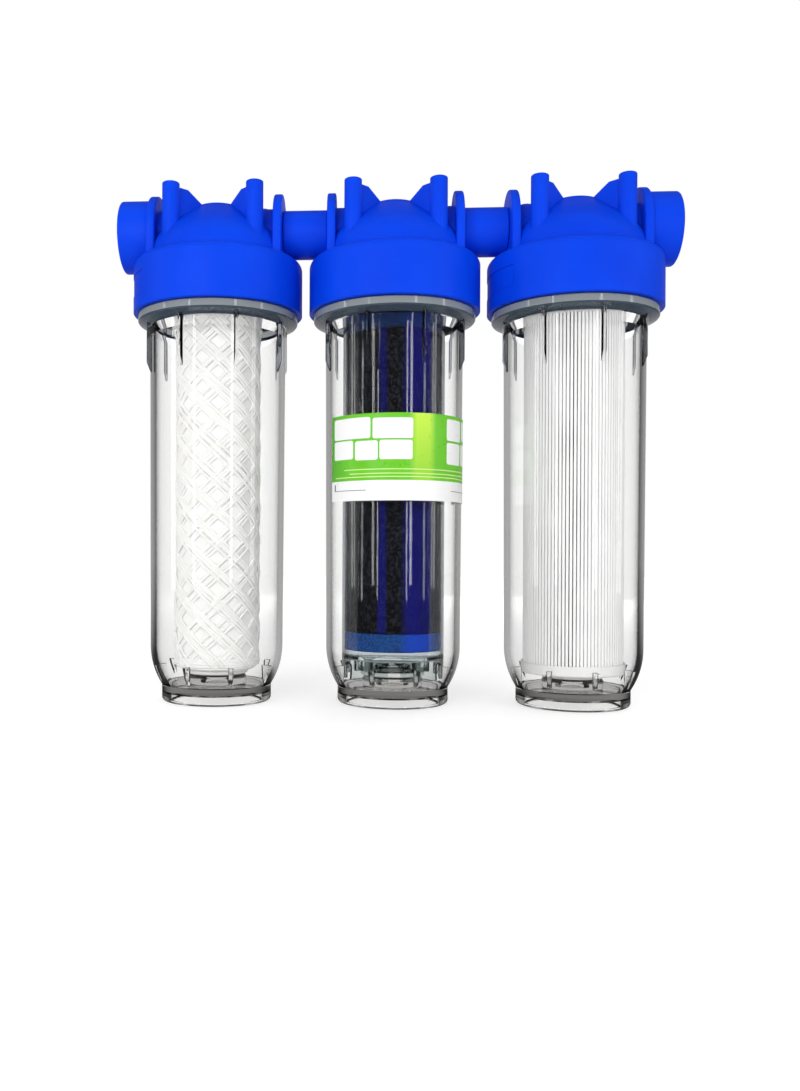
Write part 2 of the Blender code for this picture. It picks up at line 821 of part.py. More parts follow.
def build():
    clear_scene()
    finishes = make_finishes()
    for stage, name in ((1, "head_inlet"), (2, "head_middle"), (3, "head_outlet")):
        make_head(stage, name, finishes["head"])
        make_bowl(stage, finishes["bowl"])
        make_bowl_ring(stage, finishes["rubber"])
        make_gaskets(stage, finishes["gasket"])
    for index in (1, 2):
        make_connector(index, finishes["head"])
    make_wound_cartridge(1, finishes["core"], finishes["yarn"])
    make_canister(2, finishes)
    make_label(finishes["label"])
    make_pleated_cartridge(3, finishes)


build()
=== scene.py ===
import math
import random

import bpy
from mathutils import Matrix, Vector


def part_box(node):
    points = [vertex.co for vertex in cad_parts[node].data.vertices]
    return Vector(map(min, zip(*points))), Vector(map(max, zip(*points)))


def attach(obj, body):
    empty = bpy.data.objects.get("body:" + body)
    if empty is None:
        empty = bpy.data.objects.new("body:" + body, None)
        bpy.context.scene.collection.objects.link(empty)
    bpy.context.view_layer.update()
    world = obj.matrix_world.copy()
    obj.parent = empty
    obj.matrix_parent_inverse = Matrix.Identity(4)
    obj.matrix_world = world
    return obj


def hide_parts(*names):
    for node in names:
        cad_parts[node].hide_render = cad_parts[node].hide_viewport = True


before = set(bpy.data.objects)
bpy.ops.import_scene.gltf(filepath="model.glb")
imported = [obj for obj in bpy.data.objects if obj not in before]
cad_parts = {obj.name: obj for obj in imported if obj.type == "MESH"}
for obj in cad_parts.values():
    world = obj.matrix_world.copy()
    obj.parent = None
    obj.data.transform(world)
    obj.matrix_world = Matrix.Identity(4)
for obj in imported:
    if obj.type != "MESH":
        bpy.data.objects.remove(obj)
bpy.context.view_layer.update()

random.seed(11)
print("frame loaded:", len(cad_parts), "nodes")

# Where the three stages stand, read from the frame
stageX = {}
for stage in (1, 2, 3):
    low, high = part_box("bowl_%d" % stage)
    stageX[stage] = (low.x + high.x) / 2
skirtLevel = 0.2735      # bottom edge of the heads' skirts
portLevel = 0.3312       # axis of the ports


# Small helpers for modelling by hand
weldDistance = 0.000002


def clearSelection():
    active = bpy.context.view_layer.objects.active
    if active is not None and active.mode != "OBJECT":
        bpy.ops.object.mode_set(mode="OBJECT")
    bpy.ops.object.select_all(action="DESELECT")


def pick(*pieces):
    clearSelection()
    for piece in pieces:
        piece.select_set(True)
    bpy.context.view_layer.objects.active = pieces[0]
    return pieces[0]


def selectAll():
    bpy.ops.mesh.select_all(action="SELECT")


def editAll(piece):
    pick(piece)
    bpy.ops.object.mode_set(mode="EDIT")
    bpy.ops.mesh.select_mode(type="VERT")
    selectAll()


def leaveEdit():
    bpy.ops.object.mode_set(mode="OBJECT")


def weld(distance=weldDistance):
    selectAll()
    bpy.ops.mesh.remove_doubles(threshold=distance)


def faceOutwards():
    selectAll()
    bpy.ops.mesh.normals_make_consistent(inside=False)
    leaveEdit()


# One vertex, pulled along a list of (x, z) points
def drawLine(name, points):
    clearSelection()
    bpy.ops.mesh.primitive_plane_add(size=0.001)
    piece = bpy.context.object
    piece.name = piece.data.name = name
    editAll(piece)
    bpy.ops.mesh.merge(type="CENTER")
    bpy.ops.transform.translate(value=(points[0][0], 0, points[0][1]))
    for before, after in zip(points, points[1:]):
        step = (after[0] - before[0], 0, after[1] - before[1])
        bpy.ops.mesh.extrude_region_move(TRANSFORM_OT_translate={"value": step})
    return piece


# A profile of (radius, height) points spun about the Z axis. One that starts and ends
# on the axis is closed by it, any other runs back to its own start.
def spinProfile(name, points, steps=96):
    onAxis = points[0][0] == 0 and points[-1][0] == 0
    piece = drawLine(name, points if onAxis else points + points[:1])
    weld()
    selectAll()
    bpy.ops.mesh.spin(steps=steps, angle=math.tau, center=(0, 0, 0), axis=(0, 0, 1))
    weld()
    faceOutwards()
    return piece


# A closed outline of (x, z) points, filled and pulled out along Y to both sides
def cutPlate(name, outline, thickness, rounding=0.0, segments=2):
    piece = drawLine(name, outline)
    selectAll()
    bpy.ops.mesh.edge_face_add()
    bpy.ops.transform.translate(value=(0, -thickness / 2, 0))
    bpy.ops.mesh.extrude_region_move(TRANSFORM_OT_translate={"value": (0, thickness, 0)})
    faceOutwards()
    if rounding > 0:
        roundEdges(piece, rounding, segments)
    return piece


def roundEdges(piece, width, segments=2, angleDeg=40):
    step = piece.modifiers.new("round", "BEVEL")
    step.width = width
    step.segments = segments
    step.limit_method = "ANGLE"
    step.angle_limit = math.radians(angleDeg)
    applyLast(piece)


def applyLast(piece):
    pick(piece)
    bpy.ops.object.modifier_apply(modifier=piece.modifiers[-1].name)


def discard(*pieces):
    for piece in pieces:
        bpy.data.objects.remove(piece, do_unlink=True)


def mix(piece, other, operation):
    step = piece.modifiers.new(operation.lower(), "BOOLEAN")
    step.operation = operation
    step.solver = "MANIFOLD"
    step.object = other
    applyLast(piece)
    discard(other)


def shade(piece, angleDeg=32):
    pick(piece)
    bpy.ops.object.shade_smooth_by_angle(angle=math.radians(angleDeg))


# Puts the object's own place into its mesh
def setDown(piece, location=(0, 0, 0), turn=(0, 0, 0)):
    pick(piece)
    piece.location = location
    piece.rotation_euler = turn
    bpy.ops.object.transform_apply(location=True, rotation=True, scale=True)
    return piece


def turnRound(piece, degrees):
    return setDown(piece, (0, 0, 0), (0, 0, math.radians(degrees)))


def copyOf(piece, name):
    pick(piece)
    bpy.ops.object.duplicate()
    other = bpy.context.object
    other.name = other.data.name = name
    return other


def joinAll(pieces):
    pick(*pieces)
    bpy.ops.object.join()
    return bpy.context.object


def dress(piece, finish):
    piece.data.materials.clear()
    piece.data.materials.append(finish)


def arc(centre, radius, startDeg, endDeg, steps):
    points = []
    for index in range(steps + 1):
        angle = math.radians(startDeg + (endDeg - startDeg) * index / steps)
        points.append((centre[0] + radius * math.cos(angle), centre[1] + radius * math.sin(angle)))
    return points


# Helpers for node trees; owner is a material or the world

# Sets a node's inputs by name, each to a number, a colour or another node's output
def fill(owner, node, settings):
    for name, value in settings.items():
        socket = node.inputs[name]
        if isinstance(value, bpy.types.NodeSocket):
            owner.node_tree.links.new(value, socket)
        elif socket.type == "RGBA":
            socket.default_value = (*value, 1)
        else:
            socket.default_value = value


def addNode(owner, kind, settings=None):
    node = owner.node_tree.nodes.new("ShaderNode" + kind)
    fill(owner, node, settings or {})
    return node


def reckon(owner, operation, first, second=None):
    node = addNode(owner, "Math")
    node.operation = operation
    for socket, value in zip(node.inputs, (first, second)):
        if isinstance(value, (int, float)):
            socket.default_value = value
        elif value is not None:
            owner.node_tree.links.new(value, socket)
    return node.outputs[0]


def spread(owner, value, low, high, fromLow=0.3, fromHigh=0.7, smooth=False):
    ranged = addNode(owner, "MapRange", {"From Min": fromLow, "From Max": fromHigh,
                                         "To Min": low, "To Max": high, "Value": value})
    if smooth:
        ranged.interpolation_type = "SMOOTHSTEP"
    return ranged.outputs["Result"]


# Shows the second shader where factor is one and the first elsewhere
def showMixed(owner, factor, first, second):
    mixer = addNode(owner, "MixShader", {"Fac": factor})
    owner.node_tree.links.new(first.outputs[0], mixer.inputs[1])
    owner.node_tree.links.new(second.outputs[0], mixer.inputs[2])
    fill(owner, owner.node_tree.nodes["Material Output"], {"Surface": mixer.outputs[0]})


# Camera, at the height of the bowls' lower third and a little left of the middle; angles in radians
camera = {
    "place": (-0.02056, -0.69493, 0.10422),
    "yaw": 0.0658, "pitch": -0.0011, "roll": 0.0046,
    "lens": 32.23, "sensor": 36, "shiftX": 0.0921, "shiftY": 0.0089, "clipStart": 0.01,
}


def makeCamera():
    yaw, pitch, roll = camera["yaw"], camera["pitch"], camera["roll"]
    turnYaw = Matrix(((math.cos(yaw), math.sin(yaw), 0), (-math.sin(yaw), math.cos(yaw), 0), (0, 0, 1)))
    turnPitch = Matrix(((1, 0, 0), (0, math.cos(pitch), math.sin(pitch)),
                        (0, -math.sin(pitch), math.cos(pitch))))
    turnRoll = Matrix(((math.cos(roll), 0, math.sin(roll)), (0, 1, 0), (-math.sin(roll), 0, math.cos(roll))))
    rows = turnRoll @ turnPitch @ turnYaw          # right, forward and up as rows
    facing = Matrix((rows[0], rows[2], -rows[1])).transposed().to_4x4()
    clearSelection()
    bpy.ops.object.camera_add()
    view = bpy.context.object
    view.name = "photoCamera"
    view.matrix_world = Matrix.Translation(camera["place"]) @ facing
    view.data.sensor_width = camera["sensor"]
    view.data.sensor_fit = "AUTO"
    view.data.lens = camera["lens"]
    view.data.shift_x = camera["shiftX"]
    view.data.shift_y = camera["shiftY"]
    view.data.clip_start = camera["clipStart"]
    bpy.context.scene.camera = view


makeCamera()


# Studio: a pale floor, a white surround and soft lamps
studio = {
    "floorSize": 8.0, "floorDrop": 0.0003, "floorTone": 0.84, "floorRough": 0.9, "floorGloss": 0.1,
    "floorLift": 0.36, "farLift": 0.56, "liftNear": 0.35, "liftFar": 1.6,
    "worldLight": 0.62, "throughLift": 1.2,
    "dimSide": 0.03, "farSide": 0.5, "dimUntil": 0.45, "farFrom": 1.0,      # the room as gloss shows it
    "lamps": [
        # name, place, aim, width, height, watts, shows in gloss
        ("frontSoft", (-0.65, -1.45, 0.55), (0, 0, 0.2), 1.0, 0.8, 12.6, False),
        ("rightSoft", (1.25, -1.05, 0.50), (0, 0, 0.2), 0.7, 0.8, 5.4, False),
        ("backSoft", (0.60, 1.50, 0.60), (0, 0, 0.2), 1.0, 0.8, 6.0, False),
        ("farLeftStrip", (-1.54, -0.45, 0.30), (0, 0, 0.2), 0.08, 1.0, 1.7, True),
        ("leftStrip", (-0.94, -1.30, 0.30), (0, 0, 0.2), 0.06, 1.0, 1.5, True),
        ("rightStrip", (0.75, -1.41, 0.30), (0, 0, 0.2), 0.08, 1.0, 1.8, True),
        ("farRightStrip", (1.50, -0.55, 0.30), (0, 0, 0.2), 0.10, 1.0, 1.6, True),
    ],
}


# Rays that come straight from the camera or through clear plastic, and mirrored ones
def raysByKind(owner):
    rays = addNode(owner, "LightPath").outputs
    bounced = reckon(owner, "ADD", rays["Glossy Depth"], rays["Diffuse Depth"])
    fresh = reckon(owner, "LESS_THAN", bounced, 0.5)
    through = reckon(owner, "MULTIPLY", rays["Is Transmission Ray"], fresh)
    lifted = reckon(owner, "MULTIPLY", through, studio["throughLift"])
    straight = reckon(owner, "MAXIMUM", rays["Is Camera Ray"], lifted)
    mirrored = reckon(owner, "MAXIMUM", rays["Is Glossy Ray"], rays["Is Transmission Ray"])
    return straight, mirrored


# In gloss the room is dim in front and brighter behind; direction is a vector's socket
def roomSweep(owner, direction):
    parts = addNode(owner, "SeparateXYZ", {"Vector": direction})
    return spread(owner, parts.outputs["Y"], studio["dimSide"], studio["farSide"],
                  studio["dimUntil"], studio["farFrom"], True)


def vectorStep(owner, operation, source):
    step = addNode(owner, "VectorMath", {"Vector": source})
    step.operation = operation
    return step.outputs


def makeFloor():
    clearSelection()
    bpy.ops.mesh.primitive_plane_add(size=studio["floorSize"])
    floor = bpy.context.object
    floor.name = "studioFloor"
    setDown(floor, (0, 0, -studio["floorDrop"]))
    finish = bpy.data.materials.new("floorPaper")
    finish.use_nodes = True
    paper = finish.node_tree.nodes["Principled BSDF"]
    fill(finish, paper, {"Base Color": (studio["floorTone"],) * 3, "Roughness": studio["floorRough"],
                         "Specular IOR Level": studio["floorGloss"]})
    straight, mirrored = raysByKind(finish)
    coords = addNode(finish, "TexCoord").outputs["Object"]
    away = vectorStep(finish, "LENGTH", coords)["Value"]
    rise = spread(finish, away, studio["floorLift"], studio["farLift"], studio["liftNear"],
                  studio["liftFar"], True)
    strength = reckon(finish, "MULTIPLY", straight, rise)
    lift = addNode(finish, "Emission", {"Color": (1, 1, 1), "Strength": strength})
    lit = addNode(finish, "AddShader")
    finish.node_tree.links.new(paper.outputs[0], lit.inputs[0])
    finish.node_tree.links.new(lift.outputs[0], lit.inputs[1])
    outward = vectorStep(finish, "NORMALIZE", coords)["Vector"]
    dim = addNode(finish, "Emission", {"Strength": roomSweep(finish, outward)})
    onlyMirrored = reckon(finish, "MAXIMUM", reckon(finish, "SUBTRACT", mirrored, straight), 0.0)
    showMixed(finish, onlyMirrored, lit, dim)
    dress(floor, finish)


def makeWorld():
    world = bpy.data.worlds.new("studioWorld")
    bpy.context.scene.world = world
    world.use_nodes = True
    straight, mirrored = raysByKind(world)
    direction = addNode(world, "TexCoord").outputs["Generated"]
    room = addNode(world, "Mix", {"Factor": mirrored, "A": studio["worldLight"],
                                  "B": roomSweep(world, direction)})
    light = reckon(world, "MAXIMUM", straight, room.outputs["Result"])
    fill(world, world.node_tree.nodes["Background"], {"Color": (1, 1, 1), "Strength": light})


def makeLamps():
    for name, place, aim, width, height, watts, inGloss in studio["lamps"]:
        clearSelection()
        bpy.ops.object.light_add(type="AREA", location=place)
        lamp = bpy.context.object
        lamp.name = name
        lamp.data.shape = "RECTANGLE"
        lamp.data.size = width
        lamp.data.size_y = height
        lamp.data.energy = watts
        lamp.visible_glossy = lamp.visible_transmission = inGloss
        lamp.rotation_euler = (Vector(aim) - Vector(place)).to_track_quat("-Z", "Y").to_euler()


makeFloor()
makeWorld()
makeLamps()
bpy.context.scene.view_settings.view_transform = "Standard"
print("camera, floor and lamps set")


# Finishes. Each starts from this and adds what its plastic or fibre shows.
def startFinish(name, colour, roughness):
    finish = bpy.data.materials.new(name)
    finish.use_nodes = True
    shader = finish.node_tree.nodes["Principled BSDF"]
    fill(finish, shader, {"Base Color": colour, "Roughness": roughness})
    return finish, shader, addNode(finish, "TexCoord").outputs["Object"]


def addNoise(finish, coords, scale, detail=3, roughness=0.5, stretch=None):
    if stretch is not None:
        coords = addNode(finish, "Mapping", {"Scale": stretch, "Vector": coords}).outputs[0]
    noise = addNode(finish, "TexNoise", {"Scale": scale, "Detail": detail, "Roughness": roughness,
                                         "Vector": coords})
    return noise.outputs["Fac"]


def addGrains(finish, coords, scale):
    return addNode(finish, "TexVoronoi", {"Scale": scale, "Vector": coords}).outputs


def blendColours(finish, value, first, second):
    ramp = addNode(finish, "ValToRGB", {"Fac": value})
    for stop, position, colour in zip(ramp.color_ramp.elements, (0.3, 0.7), (first, second)):
        stop.position = position
        stop.color = (*colour, 1)
    return ramp.outputs["Color"]


def mixColours(finish, factor, first, second):
    mixer = addNode(finish, "Mix", {"Factor": factor})
    mixer.data_type = "RGBA"
    colours = [socket for socket in mixer.inputs if socket.type == "RGBA"]
    for socket, value in zip(colours, (first, second)):
        if isinstance(value, tuple):
            socket.default_value = (*value, 1)
        else:
            finish.node_tree.links.new(value, socket)
    return [socket for socket in mixer.outputs if socket.type == "RGBA"][0]


def bumpBy(finish, shader, value, distance, strength=1.0, rounding=0.0):
    bump = addNode(finish, "Bump", {"Distance": distance, "Strength": strength, "Height": value})
    if rounding > 0:
        edge = addNode(finish, "Bevel", {"Radius": rounding})
        edge.samples = 6
        fill(finish, bump, {"Normal": edge.outputs[0]})
    fill(finish, shader, {"Normal": bump.outputs[0]})


# Shadow rays and diffuse rays pass the plastic straight, dimmed to tone
def passLight(finish, shader, tone):
    rays = addNode(finish, "LightPath").outputs
    either = reckon(finish, "MAXIMUM", rays["Is Shadow Ray"], rays["Is Diffuse Ray"])
    passing = addNode(finish, "BsdfTransparent", {"Color": (tone, tone, tone)})
    showMixed(finish, either, shader, passing)


def headPlastic():
    look = {"blue": (0.0012, 0.052, 0.70), "deepBlue": (0.0010, 0.042, 0.62),
            "roughLow": 0.34, "roughHigh": 0.46, "gloss": 0.08, "edge": 0.0010, "grain": 0.00002}
    finish, shader, coords = startFinish("headPlastic", look["blue"], look["roughLow"])
    cloud = addNoise(finish, coords, 18, 4)
    wear = addNoise(finish, coords, 60, 5, 0.65)
    fill(finish, shader, {"Base Color": blendColours(finish, cloud, look["deepBlue"], look["blue"]),
                          "Roughness": spread(finish, wear, look["roughLow"], look["roughHigh"]),
                          "Specular IOR Level": look["gloss"]})
    bumpBy(finish, shader, addNoise(finish, coords, 1400, 2), look["grain"], 0.6, look["edge"])
    return finish


def clearPlastic():
    look = {"ior": 1.42, "roughLow": 0.010, "roughHigh": 0.035, "density": 90.0, "tint": (0.86, 0.857, 0.85),
            "rim": (0.48, 0.46, 0.465), "edgeShadeFrom": 0.62, "edgeShadeFull": 0.98, "ripple": 0.0001, "passed": 0.99}
    finish, shader, coords = startFinish("clearBowlPlastic", (1, 1, 1), look["roughLow"])
    # Painted shade: the colour darkens to the rim colour where the wall is seen edge-on, partly for the
    # longer path through the plastic, partly as painted dark edge lines
    facing = addNode(finish, "LayerWeight", {"Blend": 0.5}).outputs["Facing"]
    edgeShade = spread(finish, facing, 0, 1, look["edgeShadeFrom"], look["edgeShadeFull"])
    scuff = addNoise(finish, coords, 90, 5, 0.6, (1, 1, 0.15))
    fill(finish, shader, {"Base Color": mixColours(finish, edgeShade, (1.0, 1.0, 1.0), look["rim"]),
                          "Roughness": spread(finish, scuff, look["roughLow"], look["roughHigh"]),
                          "Transmission Weight": 1, "IOR": look["ior"]})
    bumpBy(finish, shader, addNoise(finish, coords, 40, 1, 0.5, (1, 1, 0.12)), look["ripple"], 0.12)
    passLight(finish, shader, look["passed"])
    body = addNode(finish, "VolumeAbsorption", {"Color": look["tint"], "Density": look["density"]})
    fill(finish, finish.node_tree.nodes["Material Output"], {"Volume": body.outputs[0]})
    return finish


# The same plastic with a darker colour, as painted shade, where it is thick or throws the light aside: fins,
# collar and rim
def darkenedClear(name, colour, through=1.0):
    finish = clearFinish.copy()
    finish.name = name
    shader = finish.node_tree.nodes["Principled BSDF"]
    for link in list(finish.node_tree.links):
        if link.to_socket == shader.inputs["Base Color"]:
            finish.node_tree.links.remove(link)
    fill(finish, shader, {"Base Color": colour, "Transmission Weight": through})
    return finish


def rubber():
    look = {"black": (0.02, 0.02, 0.022), "rough": 0.55, "roughLow": 0.45, "roughHigh": 0.65,
            "grain": 0.00005}
    finish, shader, coords = startFinish("blackRubber", look["black"], look["rough"])
    grain = addNoise(finish, coords, 900, 3)
    fill(finish, shader, {"Roughness": spread(finish, grain, look["roughLow"], look["roughHigh"])})
    bumpBy(finish, shader, grain, look["grain"], 0.5)
    return finish


def whitePlastic(name, colour, shadeColour, rough=0.42):
    look = {"roughLow": rough - 0.06, "roughHigh": rough + 0.08, "grain": 0.00004, "edge": 0.0005}
    finish, shader, coords = startFinish(name, colour, rough)
    cloud = addNoise(finish, coords, 35, 3)
    wear = addNoise(finish, coords, 120, 4)
    fill(finish, shader, {"Base Color": blendColours(finish, cloud, shadeColour, colour),
                          "Roughness": spread(finish, wear, look["roughLow"], look["roughHigh"])})
    bumpBy(finish, shader, addNoise(finish, coords, 700, 2), look["grain"], 0.5, look["edge"])
    return finish


headFinish = headPlastic()
clearFinish = clearPlastic()
# Painted shade: dark edge lines on the fins' sides
finShadeFinish = darkenedClear("clearFinSidesShaded", (0.40, 0.42, 0.46))
# Painted shade under the collar, dark with a painted blue reflection of the head
collarShadeFinish = darkenedClear("clearCollarUndersideShaded", (0.10, 0.135, 0.18), 0.45)
# Painted shade on the collar's rim, a darker grey-blue than the clear wall
collarRimShadeFinish = darkenedClear("clearCollarRimShaded", (0.46, 0.51, 0.54), 0.55)
rubberFinish = rubber()
gasketFinish = whitePlastic("whiteGasket", (0.86, 0.86, 0.84), (0.78, 0.78, 0.76), 0.55)
coreFinish = whitePlastic("coreWhite", (0.88, 0.88, 0.86), (0.80, 0.80, 0.78))
capFinish = whitePlastic("capWhite", (0.90, 0.90, 0.90), (0.84, 0.84, 0.84), 0.38)
print("shared finishes ready")


# The head: skirt and bell dome, posts with webs, ports with plates and bosses
head = {
    "skirtRadius": 0.060, "skirtHeight": 0.0375, "skirtWall": 0.0045, "skirtEdge": 0.0055, "softEdge": 0.0006,
    "domeRadius": 0.0495, "domeHeight": 0.0765, "domeWall": 0.0045, "underLift": 0.0002,
    "plateauRadius": 0.0165, "plateauEdge": 0.0015, "sideShare": 0.43,
    "slopeRadius": 0.64, "slopeHeight": 0.61, "domeSteps": 22, "hollowSteps": 16, "chamberRise": 0.0035,
    "postRadius": 0.006, "postRing": 0.041, "postHeight": 0.086, "postEdge": 0.0008, "postSink": 0.002,
    "screwHole": 0.0019, "screwDepth": 0.016,
    "webThickness": 0.0032, "webStep": 0.0018, "webFlat": 0.0135, "webEnd": 0.0125, "webSink": 0.0015,
    "webRoot": 0.0022, "webRootHeight": 0.004,
    "neckRadius": 0.0182, "plateFace": 0.047, "plateThickness": 0.006, "plateRadius": 0.028,
    "plateEdge": 0.0011,
    "bossRadius": 0.0251, "bossReach": 0.068, "bossEdge": 0.0012,
    "endSocket": 0.020, "innerSocket": 0.016, "socketRadius": 0.0125, "socketEdge": 0.001,
    "flowRadius": 0.008, "ductWall": 0.002, "overrun": 0.002,
    "seat": 0.2733, "seatRadius": 0.019, "seatFoot": 0.021, "seatLand": 0.017, "seatDrop": 0.0023,
    "pilotRadius": 0.0125, "pilotLength": 0.0075, "pilotEdge": 0.0008,
    "neckHeight": 0.0255, "neckGap": 0.001,
    "bandLow": 0.0105, "bandHigh": 0.0245, "bandDepth": 0.00035, "bandHalfDeg": 52,
    "threadLead": 0.005, "threadHeight": 0.0004, "threadWidth": 0.0019,
    "threadLow": 0.2777, "threadHigh": 0.2927,
    "portLead": 0.00181, "portRidge": 0.0007, "portWidth": 0.0014, "portStop": 0.0015,
}


def domeCurve(inset, steps):
    foot = head["domeRadius"] - inset
    crown = head["plateauRadius"] - inset
    base = skirtLevel + head["skirtHeight"]
    rise = head["domeHeight"] - head["skirtHeight"] - inset
    corners = ((foot, base), (foot, base + head["sideShare"] * rise),
               (crown + head["slopeRadius"] * (foot - crown), base + head["slopeHeight"] * rise),
               (crown, base + rise))
    points = []
    for step in range(steps + 1):
        share = step / steps
        rest = 1 - share
        weights = (rest ** 3, 3 * rest ** 2 * share, 3 * rest * share ** 2, share ** 3)
        points.append(tuple(sum(w * c[axis] for w, c in zip(weights, corners)) for axis in (0, 1)))
    return points


def makeHeadShell():
    skirt, height = head["skirtRadius"], head["skirtHeight"]
    edge = head["skirtEdge"]
    plateau = skirtLevel + head["domeHeight"]
    points = [(0, skirtLevel + head["underLift"]), (skirt - head["softEdge"], skirtLevel),
              (skirt, skirtLevel + head["softEdge"])]
    points += arc((skirt - edge, skirtLevel + height - edge), edge, 0, 90, 8)
    points += domeCurve(0, head["domeSteps"])[:-1]
    points += arc((head["plateauRadius"], plateau - head["plateauEdge"]), head["plateauEdge"], 30, 90, 4)
    points += [(0, plateau)]
    return spinProfile("headShell", points, 128)


# A post with its web, drawn on +X and then set at each corner
def makeBraces():
    foot = skirtLevel + head["skirtHeight"] - head["postSink"]
    top = skirtLevel + head["postHeight"]
    ring, radius = head["postRing"], head["postRadius"]
    rim = head["postEdge"]
    profile = [(0, foot), (radius, foot)] + arc((radius - rim, top - rim), rim, 0, 90, 4)
    bottom = top - head["screwDepth"]
    profile += [(head["screwHole"], top), (head["screwHole"], bottom), (0, bottom)]
    post = spinProfile("post", profile, 40)
    setDown(post, (ring, 0, 0))
    webTop = top - head["webStep"]
    webEnd = skirtLevel + head["domeHeight"] - head["webSink"]
    root, rootLow = ring - head["webRoot"], webTop - head["webRootHeight"]
    outline = [(ring, foot), (head["webEnd"], foot), (head["webEnd"], webEnd),
               (ring - head["webFlat"], webTop), (root, webTop), (root, rootLow), (ring, rootLow)]
    web = cutPlate("web", outline, head["webThickness"], head["softEdge"], 3)
    mix(post, web, "UNION")
    braces = [turnRound(copyOf(post, "brace"), turnDeg) for turnDeg in (45, 135, 225, 315)]
    discard(post)
    return joinAll(braces)


def makeHollow():
    ceiling = skirtLevel + head["neckHeight"] + head["neckGap"]
    inner = head["skirtRadius"] - head["skirtWall"]
    low = skirtLevel - head["overrun"]
    curve = domeCurve(head["domeWall"], head["hollowSteps"])
    points = [(0, low), (inner, low), (inner, ceiling),
              (curve[0][0], ceiling + head["chamberRise"])]
    points += curve[1:] + [(0, curve[-1][1])]
    return spinProfile("hollow", points, 128)


def makeColumn():
    seat = head["seat"]
    land = seat + head["seatDrop"]
    tip = seat - head["pilotLength"]
    top = skirtLevel + head["domeHeight"] - head["domeWall"] / 2
    pilot, edge = head["pilotRadius"], head["pilotEdge"]
    points = [(0, tip), (pilot - edge, tip), (pilot, tip + edge), (pilot, land), (head["seatLand"], land),
              (head["seatRadius"], seat), (head["seatFoot"], land),
              (pilot, land + head["seatFoot"] - pilot), (pilot, top), (0, top)]
    return spinProfile("column", points, 64)


# Stands a piece that was made along +Z so that it lies along a port's axis
def layAlong(piece, side):
    return setDown(piece, (0, 0, portLevel), (0, side * math.pi / 2, 0))


def rod(name, radius, low, high, steps=64):
    return spinProfile(name, [(0, low), (radius, low), (radius, high), (0, high)], steps)


def makePlate(side):
    foot = skirtLevel + head["skirtHeight"] - head["webSink"]
    outline = [(-head["plateRadius"], foot), (head["plateRadius"], foot)]
    outline += arc((0, portLevel), head["plateRadius"], 0, 180, 36)
    plate = cutPlate("plate", outline, head["plateThickness"], head["plateEdge"], 3)
    middle = side * (head["plateFace"] - head["plateThickness"] / 2)
    return setDown(plate, (middle, 0, 0), (0, 0, math.pi / 2))


def makeBoss(side):
    inner = head["plateFace"] - head["plateThickness"] / 2
    radius, face, edge = head["bossRadius"], head["bossReach"], head["bossEdge"]
    points = [(0, inner), (radius, inner)]
    points += arc((radius - edge, face - edge), edge, 0, 90, 4) + [(0, face)]
    return layAlong(spinProfile("boss", points, 96), side)


# Shallow bare panel on the front of the skirt
def makeBand():
    outer = head["skirtRadius"] + head["overrun"]
    inner = head["skirtRadius"] - head["bandDepth"]
    low, high = skirtLevel + head["bandLow"], skirtLevel + head["bandHigh"]
    piece = drawLine("band", [(inner, low), (outer, low), (outer, high), (inner, high)])
    selectAll()
    bpy.ops.mesh.edge_face_add()
    sweep = math.radians(2 * head["bandHalfDeg"])
    bpy.ops.mesh.spin(steps=40, angle=sweep, center=(0, 0, 0), axis=(0, 0, 1))
    weld()
    faceOutwards()
    return piece


# A closed section of (x, z) points that climbs round the Z axis; turns below zero run
# the other way round
def climbRound(name, section, rise, turns, stepsPerTurn):
    piece = drawLine(name, section + section[:1])
    weld()
    leaveEdit()
    step = piece.modifiers.new("climb", "SCREW")
    step.axis = "Z"
    step.angle = math.tau * turns
    step.screw_offset = rise
    step.steps = step.render_steps = round(stepsPerTurn * abs(turns))
    applyLast(piece)
    editAll(piece)
    weld(weldDistance / 2)
    selectAll()
    bpy.ops.mesh.fill_holes(sides=8)
    faceOutwards()
    return piece


# Thread ridge rooted in a wall, outwards or, with a height below zero, inwards
def makeThread(name, wall, height, width, lead, low, high, stepsPerTurn=48, root=0.0003):
    foot = wall - root if height > 0 else wall + root
    section = [(foot, low - width / 2), (wall + height, low - width / 5),
               (wall + height, low + width / 5), (foot, low + width / 2)]
    return setDown(climbRound(name, section, high - low, (high - low) / lead, stepsPerTurn))


